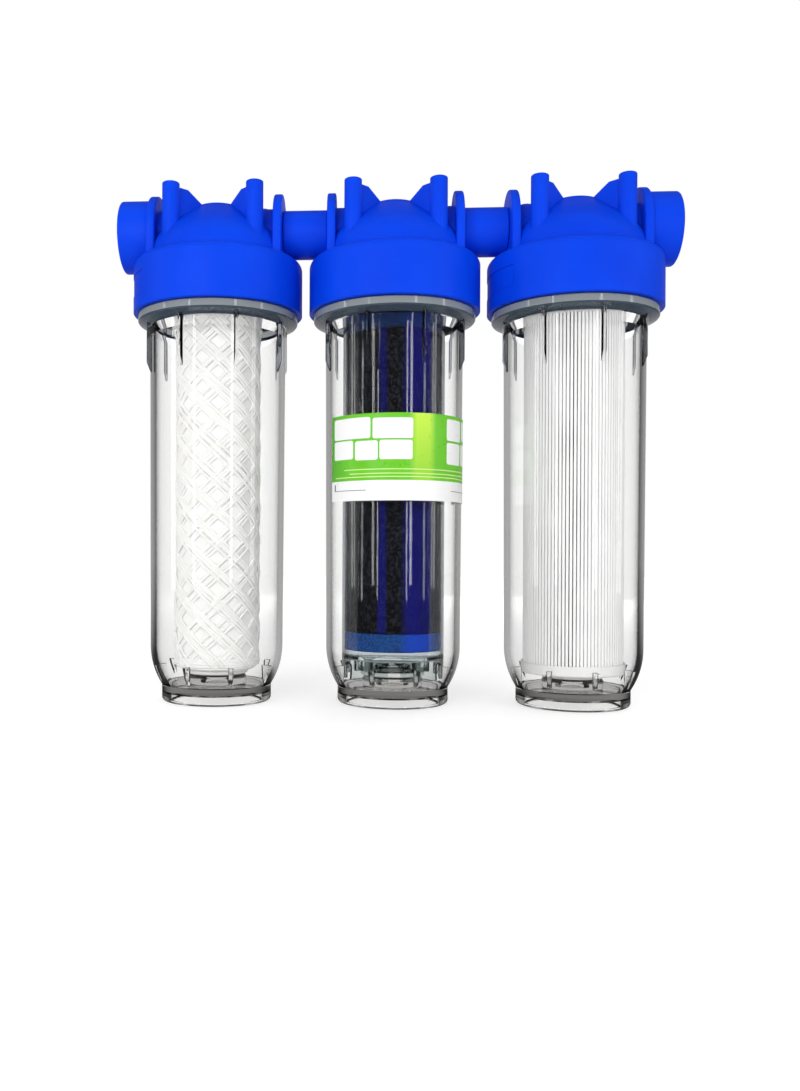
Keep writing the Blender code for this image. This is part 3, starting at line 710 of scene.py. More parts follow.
def makeHead(shell, stage, name):
    piece = copyOf(shell, name)
    ends = {-1: stage == 1, 1: stage == 3}
    overrun = head["overrun"]
    for side in (-1, 1):
        inner = head["plateFace"] - head["plateThickness"] / 2
        mix(piece, layAlong(rod("portNeck", head["neckRadius"], head["pilotRadius"], inner), side), "UNION")
        mix(piece, makePlate(side), "UNION")
        if ends[side]:
            mix(piece, makeBoss(side), "UNION")
    mix(piece, makeBraces(), "UNION")
    mix(piece, makeHollow(), "DIFFERENCE")
    mix(piece, makeColumn(), "UNION")
    duct = rod("duct", head["socketRadius"] + head["ductWall"], 0, head["plateFace"] - head["plateThickness"])
    mix(piece, layAlong(duct, 1), "UNION")
    riser = rod("riser", head["flowRadius"], head["seat"] - head["pilotLength"] - overrun, portLevel, 48)
    mix(piece, riser, "DIFFERENCE")
    for side in (-1, 1):
        face = head["bossReach"] if ends[side] else head["plateFace"]
        depth = head["endSocket"] if ends[side] else head["innerSocket"]
        far = head["pilotRadius"] + overrun if side < 0 else 0
        if not ends[side]:
            relief = rod("relief", head["neckRadius"], face, head["skirtRadius"])
            mix(piece, layAlong(relief, side), "DIFFERENCE")
        mix(piece, layAlong(rod("flow", head["flowRadius"], far, face), side), "DIFFERENCE")
        radius, edge = head["socketRadius"], head["socketEdge"]
        mouth = spinProfile("socket", [(0, face - depth), (radius, face - depth), (radius, face - edge),
                                       (radius + edge, face), (radius + edge, face + overrun),
                                       (0, face + overrun)], 64)
        mix(piece, layAlong(mouth, side), "DIFFERENCE")
        if ends[side]:
            ridge = makeThread("portThread", radius, -head["portRidge"], head["portWidth"], head["portLead"],
                               face - depth + overrun, face - head["portStop"], 40)
            mix(piece, layAlong(ridge, side), "UNION")
    ridge = makeThread("skirtThread", head["skirtRadius"] - head["skirtWall"], -head["threadHeight"],
                       head["threadWidth"], head["threadLead"], head["threadLow"], head["threadHigh"])
    mix(piece, ridge, "UNION")
    if stage != 2:
        mix(piece, turnRound(makeBand(), -90 - head["bandHalfDeg"]), "DIFFERENCE")
    shade(piece, 30)
    setDown(piece, (stageX[stage], 0, 0))
    dress(piece, headFinish)
    return piece


shell = makeHeadShell()
heads = {}
for stage, name, node in ((1, "headInlet", "head_inlet"), (2, "headMiddle", "head_middle"),
                          (3, "headOutlet", "head_outlet")):
    heads[stage] = makeHead(shell, stage, name)
    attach(heads[stage], "heads")
    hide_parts(node)
    print(name, "built with", len(heads[stage].data.polygons), "faces")
discard(shell)


# Connectors between the heads
connector = {
    "radius": 0.0168, "softEdge": 0.0006, "spigotRadius": 0.0121, "halfLength": 0.0154,
    "tip": 0.0307, "tipEdge": 0.0008, "bore": 0.008,
}


def makeConnector(index):
    c = connector
    spigot, edge = c["spigotRadius"], c["tipEdge"]
    upper = [(c["radius"], c["halfLength"] - c["softEdge"]), (c["radius"] - c["softEdge"], c["halfLength"]),
             (spigot, c["halfLength"]), (spigot, c["tip"] - edge), (spigot - edge, c["tip"]),
             (c["bore"], c["tip"])]
    lower = [(radius, -height) for radius, height in reversed(upper)]
    piece = spinProfile("connector%d" % index, lower + upper, 96)
    shade(piece, 35)
    middle = (stageX[index] + stageX[index + 1]) / 2
    setDown(piece, (middle, 0, portLevel), (0, math.pi / 2, 0))
    dress(piece, headFinish)
    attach(piece, "heads")
    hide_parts("connector_%d" % index)
    return piece


for index in (1, 2):
    makeConnector(index)
print("connectors built")


# The clear bowl: one spun wall with a foot ring, a collar and a threaded neck
bowl = {
    "neckRadius": 0.0532, "neckInner": 0.0490, "collarRadius": 0.0567,
    "topRadius": 0.0482, "lowRadius": 0.0470,
    "wall": 0.004, "cornerHeight": 0.040, "floorHeight": 0.013, "footRadius": 0.0388, "footHeight": 0.0118,
    "footEdge": 0.0032, "footFlat": 0.0004, "footInner": 0.0325, "recess": 0.007, "recessEdge": 0.001,
    "collarHeight": 0.0055, "collarUnder": 0.003, "collarLip": 0.0008, "gap": 0.0003,
    "softEdge": 0.0006, "neckEdge": 0.0007, "neckFoot": 0.008, "shoulderDrop": 0.015,
    "neckHeight": 0.0255, "grooveDrop": 0.008, "ringRadius": 0.0018, "ringCentre": 0.0531,
    "ringSeat": 0.0007, "ringSide": 0.0003,
    "finThickness": 0.0024, "finReach": 0.0514, "finDrop": 0.0424, "finEdgeHeight": 0.007,
    "finEdgeWidth": 0.003, "finRoot": 0.0015, "finRound": 0.0005,
    "ribDepth": 0.0068, "ribHeight": 0.014, "ribThickness": 0.003, "ribSink": 0.001, "ribRoot": 0.002,
    "braces": 8, "firstBraceDeg": 22.5,
    "wallSlack": 0.0003, "finSlack": 0.001, "downFacing": -0.3, "sideFacing": 0.7,
    "seat": 0.0197, "turnsDeg": (0, 0, -12),
    "threadLead": 0.005, "threadHeight": 0.0017, "threadWidth": 0.0019,
    "threadLow": 0.2752, "threadHigh": 0.2902,
}


def wallRadius(height):
    top = skirtLevel - bowl["collarHeight"] - bowl["collarUnder"]
    share = (height - bowl["cornerHeight"]) / (top - bowl["cornerHeight"])
    return bowl["lowRadius"] + share * (bowl["topRadius"] - bowl["lowRadius"])


def cornerCurve(lowRadius, low, topRadius, top, steps=14):
    sweep = 2 * math.atan2(topRadius - lowRadius, top - low)
    radius = (top - low) / math.sin(sweep)
    return arc((topRadius - radius, top), radius, -math.degrees(sweep), 0, steps)


# The seat on the bowl's floor is the head's seat turned over
def bowlProfile():
    b = bowl
    collarLow = skirtLevel - b["gap"] - b["collarHeight"]
    collarTop = skirtLevel - b["gap"]
    ring = b["ringCentre"] - b["ringRadius"] - b["ringSeat"]
    grooveLow = skirtLevel + b["neckHeight"] - b["grooveDrop"]
    grooveHigh = grooveLow + 2 * (b["ringRadius"] + b["ringSide"])
    top = skirtLevel + b["neckHeight"]
    shoulder = skirtLevel - b["shoulderDrop"]
    footInner, footRadius, soft = b["footInner"], b["footRadius"], b["softEdge"]
    points = [(0, b["recess"]), (footInner - b["recessEdge"], b["recess"]),
              (footInner, b["recess"] - b["recessEdge"]), (footInner, soft), (footInner + soft, 0),
              (footRadius - b["footEdge"] - b["footFlat"], 0)]
    points += arc((footRadius - b["footEdge"], b["footEdge"]), b["footEdge"], -80, 0, 6)
    points += cornerCurve(footRadius, b["footHeight"], b["lowRadius"], b["cornerHeight"])
    collar, neck, neckEdge = b["collarRadius"], b["neckRadius"], b["neckEdge"]
    points += [(b["topRadius"], collarLow - b["collarUnder"]),
               (collar - b["collarLip"], collarLow - b["collarLip"] / 2), (collar, collarLow + soft),
               (collar, collarTop - soft), (collar - soft, collarTop), (neck, collarTop)]
    points += [(neck, grooveLow), (ring, grooveLow), (ring, grooveHigh), (neck, grooveHigh)]
    points += [(neck, top - neckEdge), (neck - neckEdge, top), (b["neckInner"], top),
               (b["neckInner"], skirtLevel - b["neckFoot"]), (wallRadius(shoulder) - b["wall"], shoulder)]
    points += reversed(cornerCurve(footRadius - b["wall"], b["floorHeight"], b["lowRadius"] - b["wall"],
                                   b["cornerHeight"]))
    seat, floor = b["seat"], b["floorHeight"]
    land, tip = seat - head["seatDrop"], seat + head["pilotLength"]
    pilot, edge, flow = head["pilotRadius"], head["pilotEdge"], head["flowRadius"]
    points += [(head["seatFoot"], floor), (head["seatFoot"], land), (head["seatRadius"], seat),
               (head["seatLand"], land), (pilot, land), (pilot, tip - edge), (pilot - edge, tip), (flow, tip),
               (flow, floor), (0, floor)]
    return points


def makeFin(low, high):
    reach, root = bowl["finReach"], bowl["finRoot"]
    outline = [(wallRadius(low) - root, low), (reach - bowl["finEdgeWidth"], low),
               (reach, low + bowl["finEdgeHeight"]), (reach, high), (wallRadius(high) - root, high)]
    return cutPlate("fin", outline, bowl["finThickness"], bowl["finRound"], 2)


def makeRib():
    inner = bowl["lowRadius"] - bowl["wall"] - bowl["ribDepth"]
    low, high = bowl["floorHeight"] - bowl["ribSink"], bowl["floorHeight"] + bowl["ribHeight"]
    outline = [(inner, low), (bowl["footRadius"] - bowl["ribRoot"], low),
               (bowl["lowRadius"] - bowl["ribRoot"], high), (inner, high)]
    return cutPlate("rib", outline, bowl["ribThickness"], bowl["softEdge"], 2)


# Fin sides, the collar's underside and its rim get the darker clear finishes, which are painted shade
def dressBowl(piece, finLow):
    dress(piece, clearFinish)
    for finish in (finShadeFinish, collarShadeFinish, collarRimShadeFinish):
        piece.data.materials.append(finish)
    collarFoot = skirtLevel - bowl["gap"] - bowl["collarHeight"] - bowl["collarUnder"]
    for face in piece.data.polygons:
        spot, normal = face.center, face.normal
        reach = math.hypot(spot.x, spot.y)
        onWall = reach < wallRadius(spot.z) + bowl["wallSlack"]
        if onWall or not finLow - bowl["finSlack"] < spot.z < skirtLevel - bowl["gap"] / 2:
            continue
        if spot.z > collarFoot:
            face.material_index = 2 if normal.z < bowl["downFacing"] else 3
        elif abs(normal.x * spot.y - normal.y * spot.x) / reach > bowl["sideFacing"]:
            face.material_index = 1


def makeBowl(name):
    piece = spinProfile(name, bowlProfile(), 128)
    finLow = skirtLevel - bowl["finDrop"]
    fin = makeFin(finLow, skirtLevel - bowl["gap"] - bowl["collarHeight"] / 2)
    rib = makeRib()
    extras = []
    for index in range(bowl["braces"]):
        turnDeg = bowl["firstBraceDeg"] + 360 * index / bowl["braces"]
        extras += [turnRound(copyOf(fin, "finCopy"), turnDeg), turnRound(copyOf(rib, "ribCopy"), turnDeg)]
    discard(fin, rib)
    mix(piece, joinAll(extras), "UNION")
    ridge = makeThread("neckThread", bowl["neckRadius"], bowl["threadHeight"], bowl["threadWidth"],
                       bowl["threadLead"], bowl["threadLow"], bowl["threadHigh"])
    mix(piece, ridge, "UNION")
    shade(piece, 28)
    dressBowl(piece, finLow)
    return piece


bowlMaster = makeBowl("bowlMaster")
bowls = {}
for stage in (1, 2, 3):
    piece = copyOf(bowlMaster, "bowl%d" % stage)
    setDown(piece, (stageX[stage], 0, 0), (0, 0, math.radians(bowl["turnsDeg"][stage - 1])))
    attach(piece, "bowl_%d" % stage)
    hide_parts("bowl_%d" % stage)
    bowls[stage] = piece
discard(bowlMaster)
print("bowls built with", len(bowls[1].data.polygons), "faces each")


# Soft rings: the bowl's O-ring and the cartridges' gaskets
gasketSize = {
    "inner": 0.014, "outer": 0.0225, "thickness": 0.003, "innerEdge": 0.0005, "outerEdge": 0.0008,
    "low": 0.020, "top": 0.270,
}


def makeSoftRings(stage):
    level = skirtLevel + bowl["neckHeight"] - bowl["grooveDrop"] + bowl["ringRadius"] + bowl["ringSide"]
    section = arc((bowl["ringCentre"], level), bowl["ringRadius"], 0, 360, 14)[:-1]
    ring = spinProfile("bowlRing%d" % stage, section, 96)
    shade(ring, 80)
    setDown(ring, (stageX[stage], 0, 0))
    dress(ring, rubberFinish)
    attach(ring, "ring_%d" % stage)
    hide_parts("bowl_o_ring_%d" % stage)
    g = gasketSize
    inner, outer, fine, edge = g["inner"], g["outer"], g["innerEdge"], g["outerEdge"]
    for place in ("low", "top"):
        low, high = g[place], g[place] + g["thickness"]
        section = [(inner, low + fine), (inner + fine, low), (outer - edge, low), (outer, low + edge),
                   (outer, high - edge), (outer - edge, high), (inner + fine, high), (inner, high - fine)]
        gasket = spinProfile("gasket%s%d" % (place.title(), stage), section, 72)
        shade(gasket, 50)
        setDown(gasket, (stageX[stage], 0, 0))
        dress(gasket, gasketFinish)
        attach(gasket, "cartridge_%d" % stage)
        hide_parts("gasket_%s_%d" % (place, stage))


for stage in (1, 2, 3):
    makeSoftRings(stage)
print("rings and gaskets built")


# The string-wound cartridge: a core tube, a spun body and the yarns that cross on it
wound = {
    "low": 0.0233, "high": 0.2697, "coreInner": 0.0140, "coreOuter": 0.0156, "coreEdge": 0.0003,
    "packRadius": 0.0289, "endRound": 0.0055,
    "lead": 0.170, "bands": 8, "yarnsInBand": 4, "yarnStepDeg": 5.8, "endMargin": 0.0042,
    "innerLayer": 0.0296, "outerLayer": 0.0298, "yarnDepth": 0.0010, "yarnHeight": 0.00170,
    "looseDeg": 0.5, "looseHeight": 0.0008, "looseScale": (0.988, 1.006),
    "hoops": 6, "hoopOut": 0.0006, "hoopLift": 0.0002, "hoopDepth": 0.0011, "hoopHeight": 0.0012,
    "hoopFromDeg": -30, "hoopSweepDeg": 100, "hoopTiltDeg": 0.7, "hoopLeast": 0.3,
    "swell": 0.0007, "swellSize": 0.006,
}


def yarnFibre():
    look = {"white": (0.97, 0.968, 0.955), "shaded": (0.91, 0.907, 0.89), "rough": 0.95, "gloss": 0.15,
            "fuzz": 0.25, "fuzzRough": 0.6, "fibre": 0.00022}
    finish, shader, coords = startFinish("woundYarnFibre", look["white"], look["rough"])
    tuft = addNoise(finish, coords, 160, 5, 0.6)
    fill(finish, shader, {"Base Color": blendColours(finish, tuft, look["shaded"], look["white"]),
                          "Specular IOR Level": look["gloss"], "Sheen Weight": look["fuzz"],
                          "Sheen Roughness": look["fuzzRough"]})
    bumpBy(finish, shader, addNoise(finish, coords, 1500, 4, 0.7), look["fibre"], 0.8)
    return finish


def ovalSection(radius, level, depth, height, sides=6):
    section = []
    for index in range(sides):
        angle = math.tau * (index + 0.5) / sides
        section.append((radius + depth * math.cos(angle), level + height * math.sin(angle)))
    return section


def loose(amount):
    return random.uniform(-amount, amount)


# One layer of yarns: every band is the same yarn set down beside itself
def makeYarnLayer(name, radius, direction):
    low = wound["low"] + wound["endMargin"]
    rise = wound["high"] - wound["low"] - 2 * wound["endMargin"]
    section = ovalSection(radius, low, wound["yarnDepth"], wound["yarnHeight"])
    yarn = climbRound(name, section, rise, direction * rise / wound["lead"], 32)
    layer = []
    for band in range(wound["bands"]):
        for place in range(wound["yarnsInBand"]):
            turnDeg = 360 * band / wound["bands"] + wound["yarnStepDeg"] * place + loose(wound["looseDeg"])
            copy = copyOf(yarn, "yarnCopy")
            copy.scale = (random.uniform(*wound["looseScale"]),) * 2 + (1,)
            layer.append(setDown(copy, (0, 0, loose(wound["looseHeight"])), (0, 0, math.radians(turnDeg))))
    discard(yarn)
    return joinAll(layer)


# Yarns that turn back over the rounded ends
def makeHoops():
    w = wound
    hoops = []
    for end, sign in (("low", 1), ("high", -1)):
        centre = w["packRadius"] - w["endRound"] + w["hoopOut"]
        middle = w[end] + sign * w["endRound"]
        reach = w["endRound"] + w["hoopLift"]
        for index in range(w["hoops"]):
            angle = math.radians(w["hoopFromDeg"] + w["hoopSweepDeg"] * index / (w["hoops"] - 1))
            radius = centre + reach * max(math.cos(angle), w["hoopLeast"])
            level = middle - sign * (reach - w["hoopDepth"]) * math.sin(angle)
            hoop = spinProfile("hoop", ovalSection(radius, level, w["hoopDepth"], w["hoopHeight"]), 64)
            tilt = (math.radians(loose(w["hoopTiltDeg"])), math.radians(loose(w["hoopTiltDeg"])), 0)
            hoops.append(setDown(hoop, (0, 0, 0), tilt))
    return joinAll(hoops)


def swellOut(piece, strength, size):
    cloud = bpy.data.textures.new("swell", "CLOUDS")
    cloud.noise_scale = size
    step = piece.modifiers.new("swell", "DISPLACE")
    step.texture = cloud
    step.texture_coords = "LOCAL"
    step.strength = strength
    step.mid_level = 0.6
    applyLast(piece)
    bpy.data.textures.remove(cloud)


def makeCore(stage, low, high):
    inner, outer, edge = wound["coreInner"], wound["coreOuter"], wound["coreEdge"]
    section = [(inner, low), (outer - edge, low), (outer, low + edge), (outer, high - edge),
               (outer - edge, high), (inner, high)]
    core = spinProfile("core%d" % stage, section, 64)
    shade(core, 40)
    setDown(core, (stageX[stage], 0, 0))
    dress(core, coreFinish)
    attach(core, "cartridge_%d" % stage)
    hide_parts("core_%d" % stage)


def makeWoundCartridge():
    yarnFinish = yarnFibre()
    makeCore(1, wound["low"], wound["high"])
    low, high, pack, bend = wound["low"], wound["high"], wound["packRadius"], wound["endRound"]
    inner = wound["coreOuter"] + wound["coreEdge"]
    outline = [(inner, low)] + arc((pack - bend, low + bend), bend, -90, 0, 6)
    outline += arc((pack - bend, high - bend), bend, 0, 90, 6) + [(inner, high)]
    body = spinProfile("woundBody", outline, 96)
    shade(body, 60)
    yarns = joinAll([makeYarnLayer("innerYarn", wound["innerLayer"], 1),
                     makeYarnLayer("outerYarn", wound["outerLayer"], -1), makeHoops()])
    yarns.name = yarns.data.name = "woundYarn"
    swellOut(yarns, wound["swell"], wound["swellSize"])
    shade(yarns, 75)
    for piece, node in ((body, "wound_media_1"), (yarns, "yarn_1")):
        setDown(piece, (stageX[1], 0, 0))
        dress(piece, yarnFinish)
        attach(piece, "cartridge_1")
        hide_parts(node)
    print("wound cartridge built with", len(yarns.data.polygons), "yarn faces")


makeWoundCartridge()


# The granular canister: a clear tube of carbon between two foam pads, on an arched foot
canister = {
    "outer": 0.0358, "wall": 0.0016, "tubeLow": 0.0347, "tubeHigh": 0.2669, "top": 0.2697, "capDepth": 0.003,
    "gap": 0.0003, "tubeEdge": 0.0003, "footEdge": 0.0004, "capEdge": 0.0006, "fillEdge": 0.0004,
    "bore": 0.0140, "plug": 0.0339, "skirtWall": 0.0022, "skirtFoot": 0.0188, "plate": 0.0033,
    "bossRadius": 0.0245, "bossLow": 0.0233, "pocketTop": 0.0295,
    "archWidth": 0.008, "archHeight": 0.0115, "archDepth": 0.006, "overrun": 0.002, "arches": 6,
    "fill": 0.0339, "fillLow": 0.0383, "foamLow": 0.012, "foamTop": 0.006, "fillHigh": 0.2639,
    # Angles in degrees of two bands of painted sheen, a painted reflection of the blue heads on the carbon
    # and foam
    "paintedSheenLeft": (-108, -100), "paintedSheenRight": (-79, -45),
}


# Clear plastic that lets the lamps through to what it holds
def innerPlastic(name, colour, rough, roughHigh):
    look = {"ior": 1.42, "ripple": 0.00015, "passed": 0.9}
    finish, shader, coords = startFinish(name, colour, rough)
    haze = addNoise(finish, coords, 70, 4, 0.6, (1, 1, 0.2))
    fill(finish, shader, {"Transmission Weight": 1, "IOR": look["ior"],
                          "Roughness": spread(finish, haze, rough, roughHigh)})
    bumpBy(finish, shader, haze, look["ripple"], 0.3)
    passLight(finish, shader, look["passed"])
    return finish


# Angle round the Z axis in degrees and height, on a piece whose middle is at x = 0
def angleAndHeight(finish, coords):
    parts = addNode(finish, "SeparateXYZ", {"Vector": coords}).outputs
    angle = reckon(finish, "ARCTAN2", parts["Y"], parts["X"])
    return reckon(finish, "MULTIPLY", angle, 180 / math.pi), parts["Z"]


# One between two values and zero outside them, with soft edges
def between(finish, value, low, high, edge):
    rising = spread(finish, value, 0, 1, low - edge, low + edge)
    falling = spread(finish, value, 1, 0, high - edge, high + edge)
    return reckon(finish, "MULTIPLY", rising, falling)


def carbonGranules():
    look = {"black": (0.003, 0.003, 0.004), "grey": (0.022, 0.023, 0.030), "blue": (0.004, 0.005, 0.21),
            "rough": 0.5, "gloss": 0.15, "grain": 0.0006}
    finish, shader, coords = startFinish("carbonGranules", look["black"], look["rough"])
    grains = addGrains(finish, coords, 620)
    tone = spread(finish, grains["Color"], 0, 1, 0.3, 0.9)
    grainColour = blendColours(finish, tone, look["black"], look["grey"])
    # Painted reflection of the blue heads: the carbon turns blue in two bands round the canister, streaked by
    # noise
    angle = angleAndHeight(finish, coords)[0]
    left = between(finish, angle, *canister["paintedSheenLeft"], 2.5)
    right = between(finish, angle, *canister["paintedSheenRight"], 5)
    streak = spread(finish, addNoise(finish, coords, 30, 3, 0.5, (6, 6, 0.3)), 0.35, 1)
    paintedSheen = reckon(finish, "MULTIPLY", reckon(finish, "MAXIMUM", left, right), streak)
    fill(finish, shader, {"Base Color": mixColours(finish, paintedSheen, grainColour, look["blue"]),
                          "Specular IOR Level": look["gloss"]})
    bumpBy(finish, shader, grains["Distance"], look["grain"], 0.9)
    return finish


def foamBlue():
    look = {"blue": (0.012, 0.105, 0.38), "pore": (0.006, 0.05, 0.20), "paintedHighlight": (0.008, 0.075, 0.62),
            "shadowBlue": (0.004, 0.014, 0.055), "rough": 0.85, "poreDepth": 0.0006}
    finish, shader, coords = startFinish("foamBlue", look["blue"], look["rough"])
    pores = addGrains(finish, coords, 750)
    poreColour = blendColours(finish, pores["Distance"], look["blue"], look["pore"])
    angle, level = angleAndHeight(finish, coords)
    # Painted highlight: the foam is lighter blue in the right-hand band of painted sheen
    paintedHighlight = between(finish, angle, *canister["paintedSheenRight"], 6)
    foamColour = mixColours(finish, paintedHighlight, poreColour, look["paintedHighlight"])
    # Painted shadow of the head: the upper pad is mostly turned to the dark colour
    shaded = spread(finish, level, 0, 0.75, 0.24, 0.25)      # the upper pad is darker
    fill(finish, shader, {"Base Color": mixColours(finish, shaded, foamColour, look["shadowBlue"])})
    bumpBy(finish, shader, pores["Distance"], look["poreDepth"], 0.9)
    return finish


def makeCanisterFoot():
    c = canister
    outer, skirtInner = c["outer"], c["outer"] - c["skirtWall"]
    plateLow, plateTop = c["tubeLow"] - c["plate"], c["tubeLow"] + c["plate"]
    tubeSeat, skirtFoot, half = c["tubeLow"] - c["gap"], c["skirtFoot"], c["archWidth"] / 2
    outline = [(0, c["pocketTop"]), (c["bore"], c["pocketTop"]), (c["bore"], c["bossLow"]),
               (c["bossRadius"], c["bossLow"]), (c["bossRadius"], plateLow), (skirtInner, plateLow),
               (skirtInner, skirtFoot), (outer - c["footEdge"], skirtFoot),
               (outer, skirtFoot + c["footEdge"]), (outer, tubeSeat), (c["plug"], tubeSeat),
               (c["plug"], plateTop), (0, plateTop)]
    foot = spinProfile("canisterFoot", outline, 96)
    spring = skirtFoot + c["archHeight"] - half
    low = skirtFoot - c["overrun"]
    archOutline = [(-half, low), (half, low)] + arc((0, spring), half, 0, 180, 12)
    for index in range(c["arches"]):
        opening = cutPlate("arch", archOutline, c["archDepth"])
        setDown(opening, (0, -outer + c["skirtWall"] / 2, 0))
        setDown(opening, (0, 0, 0), (0, 0, math.tau * index / c["arches"]))
        mix(foot, opening, "DIFFERENCE")
    return foot


def makeCanisterCap():
    c = canister
    low, seat = c["tubeHigh"] - c["capDepth"], c["tubeHigh"] + c["gap"]
    outer, top, edge = c["outer"], c["top"], c["capEdge"]
    outline = [(c["bore"], low), (c["plug"], low), (c["plug"], seat), (outer, seat), (outer, top - edge),
               (outer - edge, top), (c["bore"], top)]
    return spinProfile("canisterCap", outline, 96)


def makeFilling(name, low, high):
    radius, edge = canister["fill"], canister["fillEdge"]
    outline = [(0, low), (radius - edge, low), (radius, low + edge), (radius, high - edge),
               (radius - edge, high), (0, high)]
    return spinProfile(name, outline, 128)


def makeCanister():
    c = canister
    inner, outer, edge = c["outer"] - c["wall"], c["outer"], c["tubeEdge"]
    low, high = c["tubeLow"], c["tubeHigh"]
    tube = spinProfile("canisterTube", [(inner, low), (outer - edge, low), (outer, low + edge),
                                        (outer, high - edge), (outer - edge, high), (inner, high)], 128)
    cap = makeCanisterCap()
    foot = makeCanisterFoot()
    foamHigh, padLow = c["fillLow"] + c["foamLow"], c["fillHigh"] - c["foamTop"]
    lowPad = makeFilling("foamLow", c["fillLow"], foamHigh)
    carbon = makeFilling("carbonFill", foamHigh + c["gap"], padLow - c["gap"])
    topPad = makeFilling("foamTop", padLow, c["fillHigh"])
    smoky = innerPlastic("canisterClear", (0.86, 0.89, 0.96), 0.015, 0.04)
    frosted = innerPlastic("canisterEndFrosted", (0.70, 0.76, 0.75), 0.03, 0.09)
    foam = foamBlue()
    for piece, finish, node, slot in ((tube, smoky, "canister_2", "canister_plastic"),
                                      (foot, frosted, "canister_foot_2", "canister_end_plastic"),
                                      (cap, smoky, "canister_cap_2", "canister_end_plastic"),
                                      (lowPad, foam, "foam_low_2", "blue_foam"),
                                      (carbon, carbonGranules(), "carbon_2", "carbon_granules"),
                                      (topPad, foam, "foam_top_2", "blue_foam")):
        shade(piece, 35)
        dress(piece, finish)
        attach(piece, "cartridge_2")
        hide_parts(node)
    print("canister built")


makeCanister()


# The pleated cartridge: a folded sheet round its core, potted in two lipped end caps
pleated = {
    "low": 0.0233, "high": 0.2697, "capRadius": 0.0355, "capHeight": 0.007, "capWeb": 0.003,
    "coreGap": 0.0003, "rim": 0.0006, "lipWall": 0.0008, "lipEdge": 0.0002,
    "pleats": 90, "pointsEach": 12, "outer": 0.0341, "inner": 0.0200, "sheet": 0.0004,
    "sheetLow": 0.0265, "sheetHigh": 0.2665,
    "wave": 0.0005, "waveSize": 0.014, "levels": 14,
}


def sheetWhite():
    look = {"white": (0.975, 0.975, 0.97), "shaded": (0.93, 0.93, 0.935), "rough": 0.8, "gloss": 0.2,
            "fibre": 0.0001}
    finish, shader, coords = startFinish("pleatedSheetWhite", look["white"], look["rough"])
    cloud = addNoise(finish, coords, 60, 4)
    fill(finish, shader, {"Base Color": blendColours(finish, cloud, look["shaded"], look["white"]),
                          "Specular IOR Level": look["gloss"]})
    bumpBy(finish, shader, addNoise(finish, coords, 900, 4, 0.7, (1, 1, 0.4)), look["fibre"], 0.6)
    return finish


# Two points of every twelve on a ring go in to a valley, then the ring is pulled up in steps
def makePleats():
    p = pleated
    count = p["pointsEach"] * p["pleats"]
    clearSelection()
    bpy.ops.mesh.primitive_circle_add(vertices=count, radius=p["outer"], fill_type="NOTHING",
                                      location=(0, 0, p["sheetLow"]))
    sheet = bpy.context.object
    sheet.name = sheet.data.name = "pleatedSheet"
    for index, vertex in enumerate(sheet.data.vertices):
        vertex.select = index % p["pointsEach"] in (0, 1)
    for edge in sheet.data.edges:
        edge.select = False
    bpy.ops.object.mode_set(mode="EDIT")
    bpy.ops.mesh.select_mode(type="VERT")
    ratio = p["inner"] / p["outer"]
    bpy.ops.transform.resize(value=(ratio, ratio, 1), center_override=(0, 0, p["sheetLow"]))
    selectAll()
    step = (p["sheetHigh"] - p["sheetLow"]) / p["levels"]
    for level in range(p["levels"]):
        bpy.ops.mesh.extrude_region_move(TRANSFORM_OT_translate={"value": (0, 0, step)})
    faceOutwards()
    setDown(sheet, (0, 0, p["sheetLow"]))
    swellOut(sheet, p["wave"], p["waveSize"])
    thick = sheet.modifiers.new("sheet", "SOLIDIFY")
    thick.thickness = p["sheet"]
    thick.offset = -1
    applyLast(sheet)
    return sheet


def makeEndCap(name, face, inward):
    p = pleated
    bore, radius, rim = wound["coreInner"], p["capRadius"], p["rim"]
    lip, web = face + inward * p["capHeight"], face + inward * p["capWeb"]
    outline = [(bore, face), (radius - rim, face), (radius, face + inward * rim),
               (radius, lip - inward * p["lipEdge"]), (radius - p["lipEdge"], lip),
               (radius - p["lipWall"], lip), (radius - p["lipWall"], web), (bore, web)]
    cap = spinProfile(name, outline, 128)
    shade(cap, 40)
    return cap


def makePleatedCartridge():
    p = pleated
    makeCore(3, p["low"] + p["capWeb"] + p["coreGap"], p["high"] - p["capWeb"] - p["coreGap"])
    sheet = makePleats()
    shade(sheet, 50)
    caps = (makeEndCap("endCapLow", p["low"], 1), makeEndCap("endCapTop", p["high"], -1))
    for piece, finish, node, slot in ((sheet, sheetWhite(), "pleats_3", "pleated_sheet"),
                                      (caps[0], capFinish, "end_cap_low_3", "white_cap_plastic"),
                                      (caps[1], capFinish, "end_cap_top_3", "white_cap_plastic")):
        setDown(piece, (stageX[3], 0, 0))
        dress(piece, finish)
        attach(piece, "cartridge_3")
        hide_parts(node)
    print("pleated cartridge built with", len(sheet.data.polygons), "sheet faces")


makePleatedCartridge()


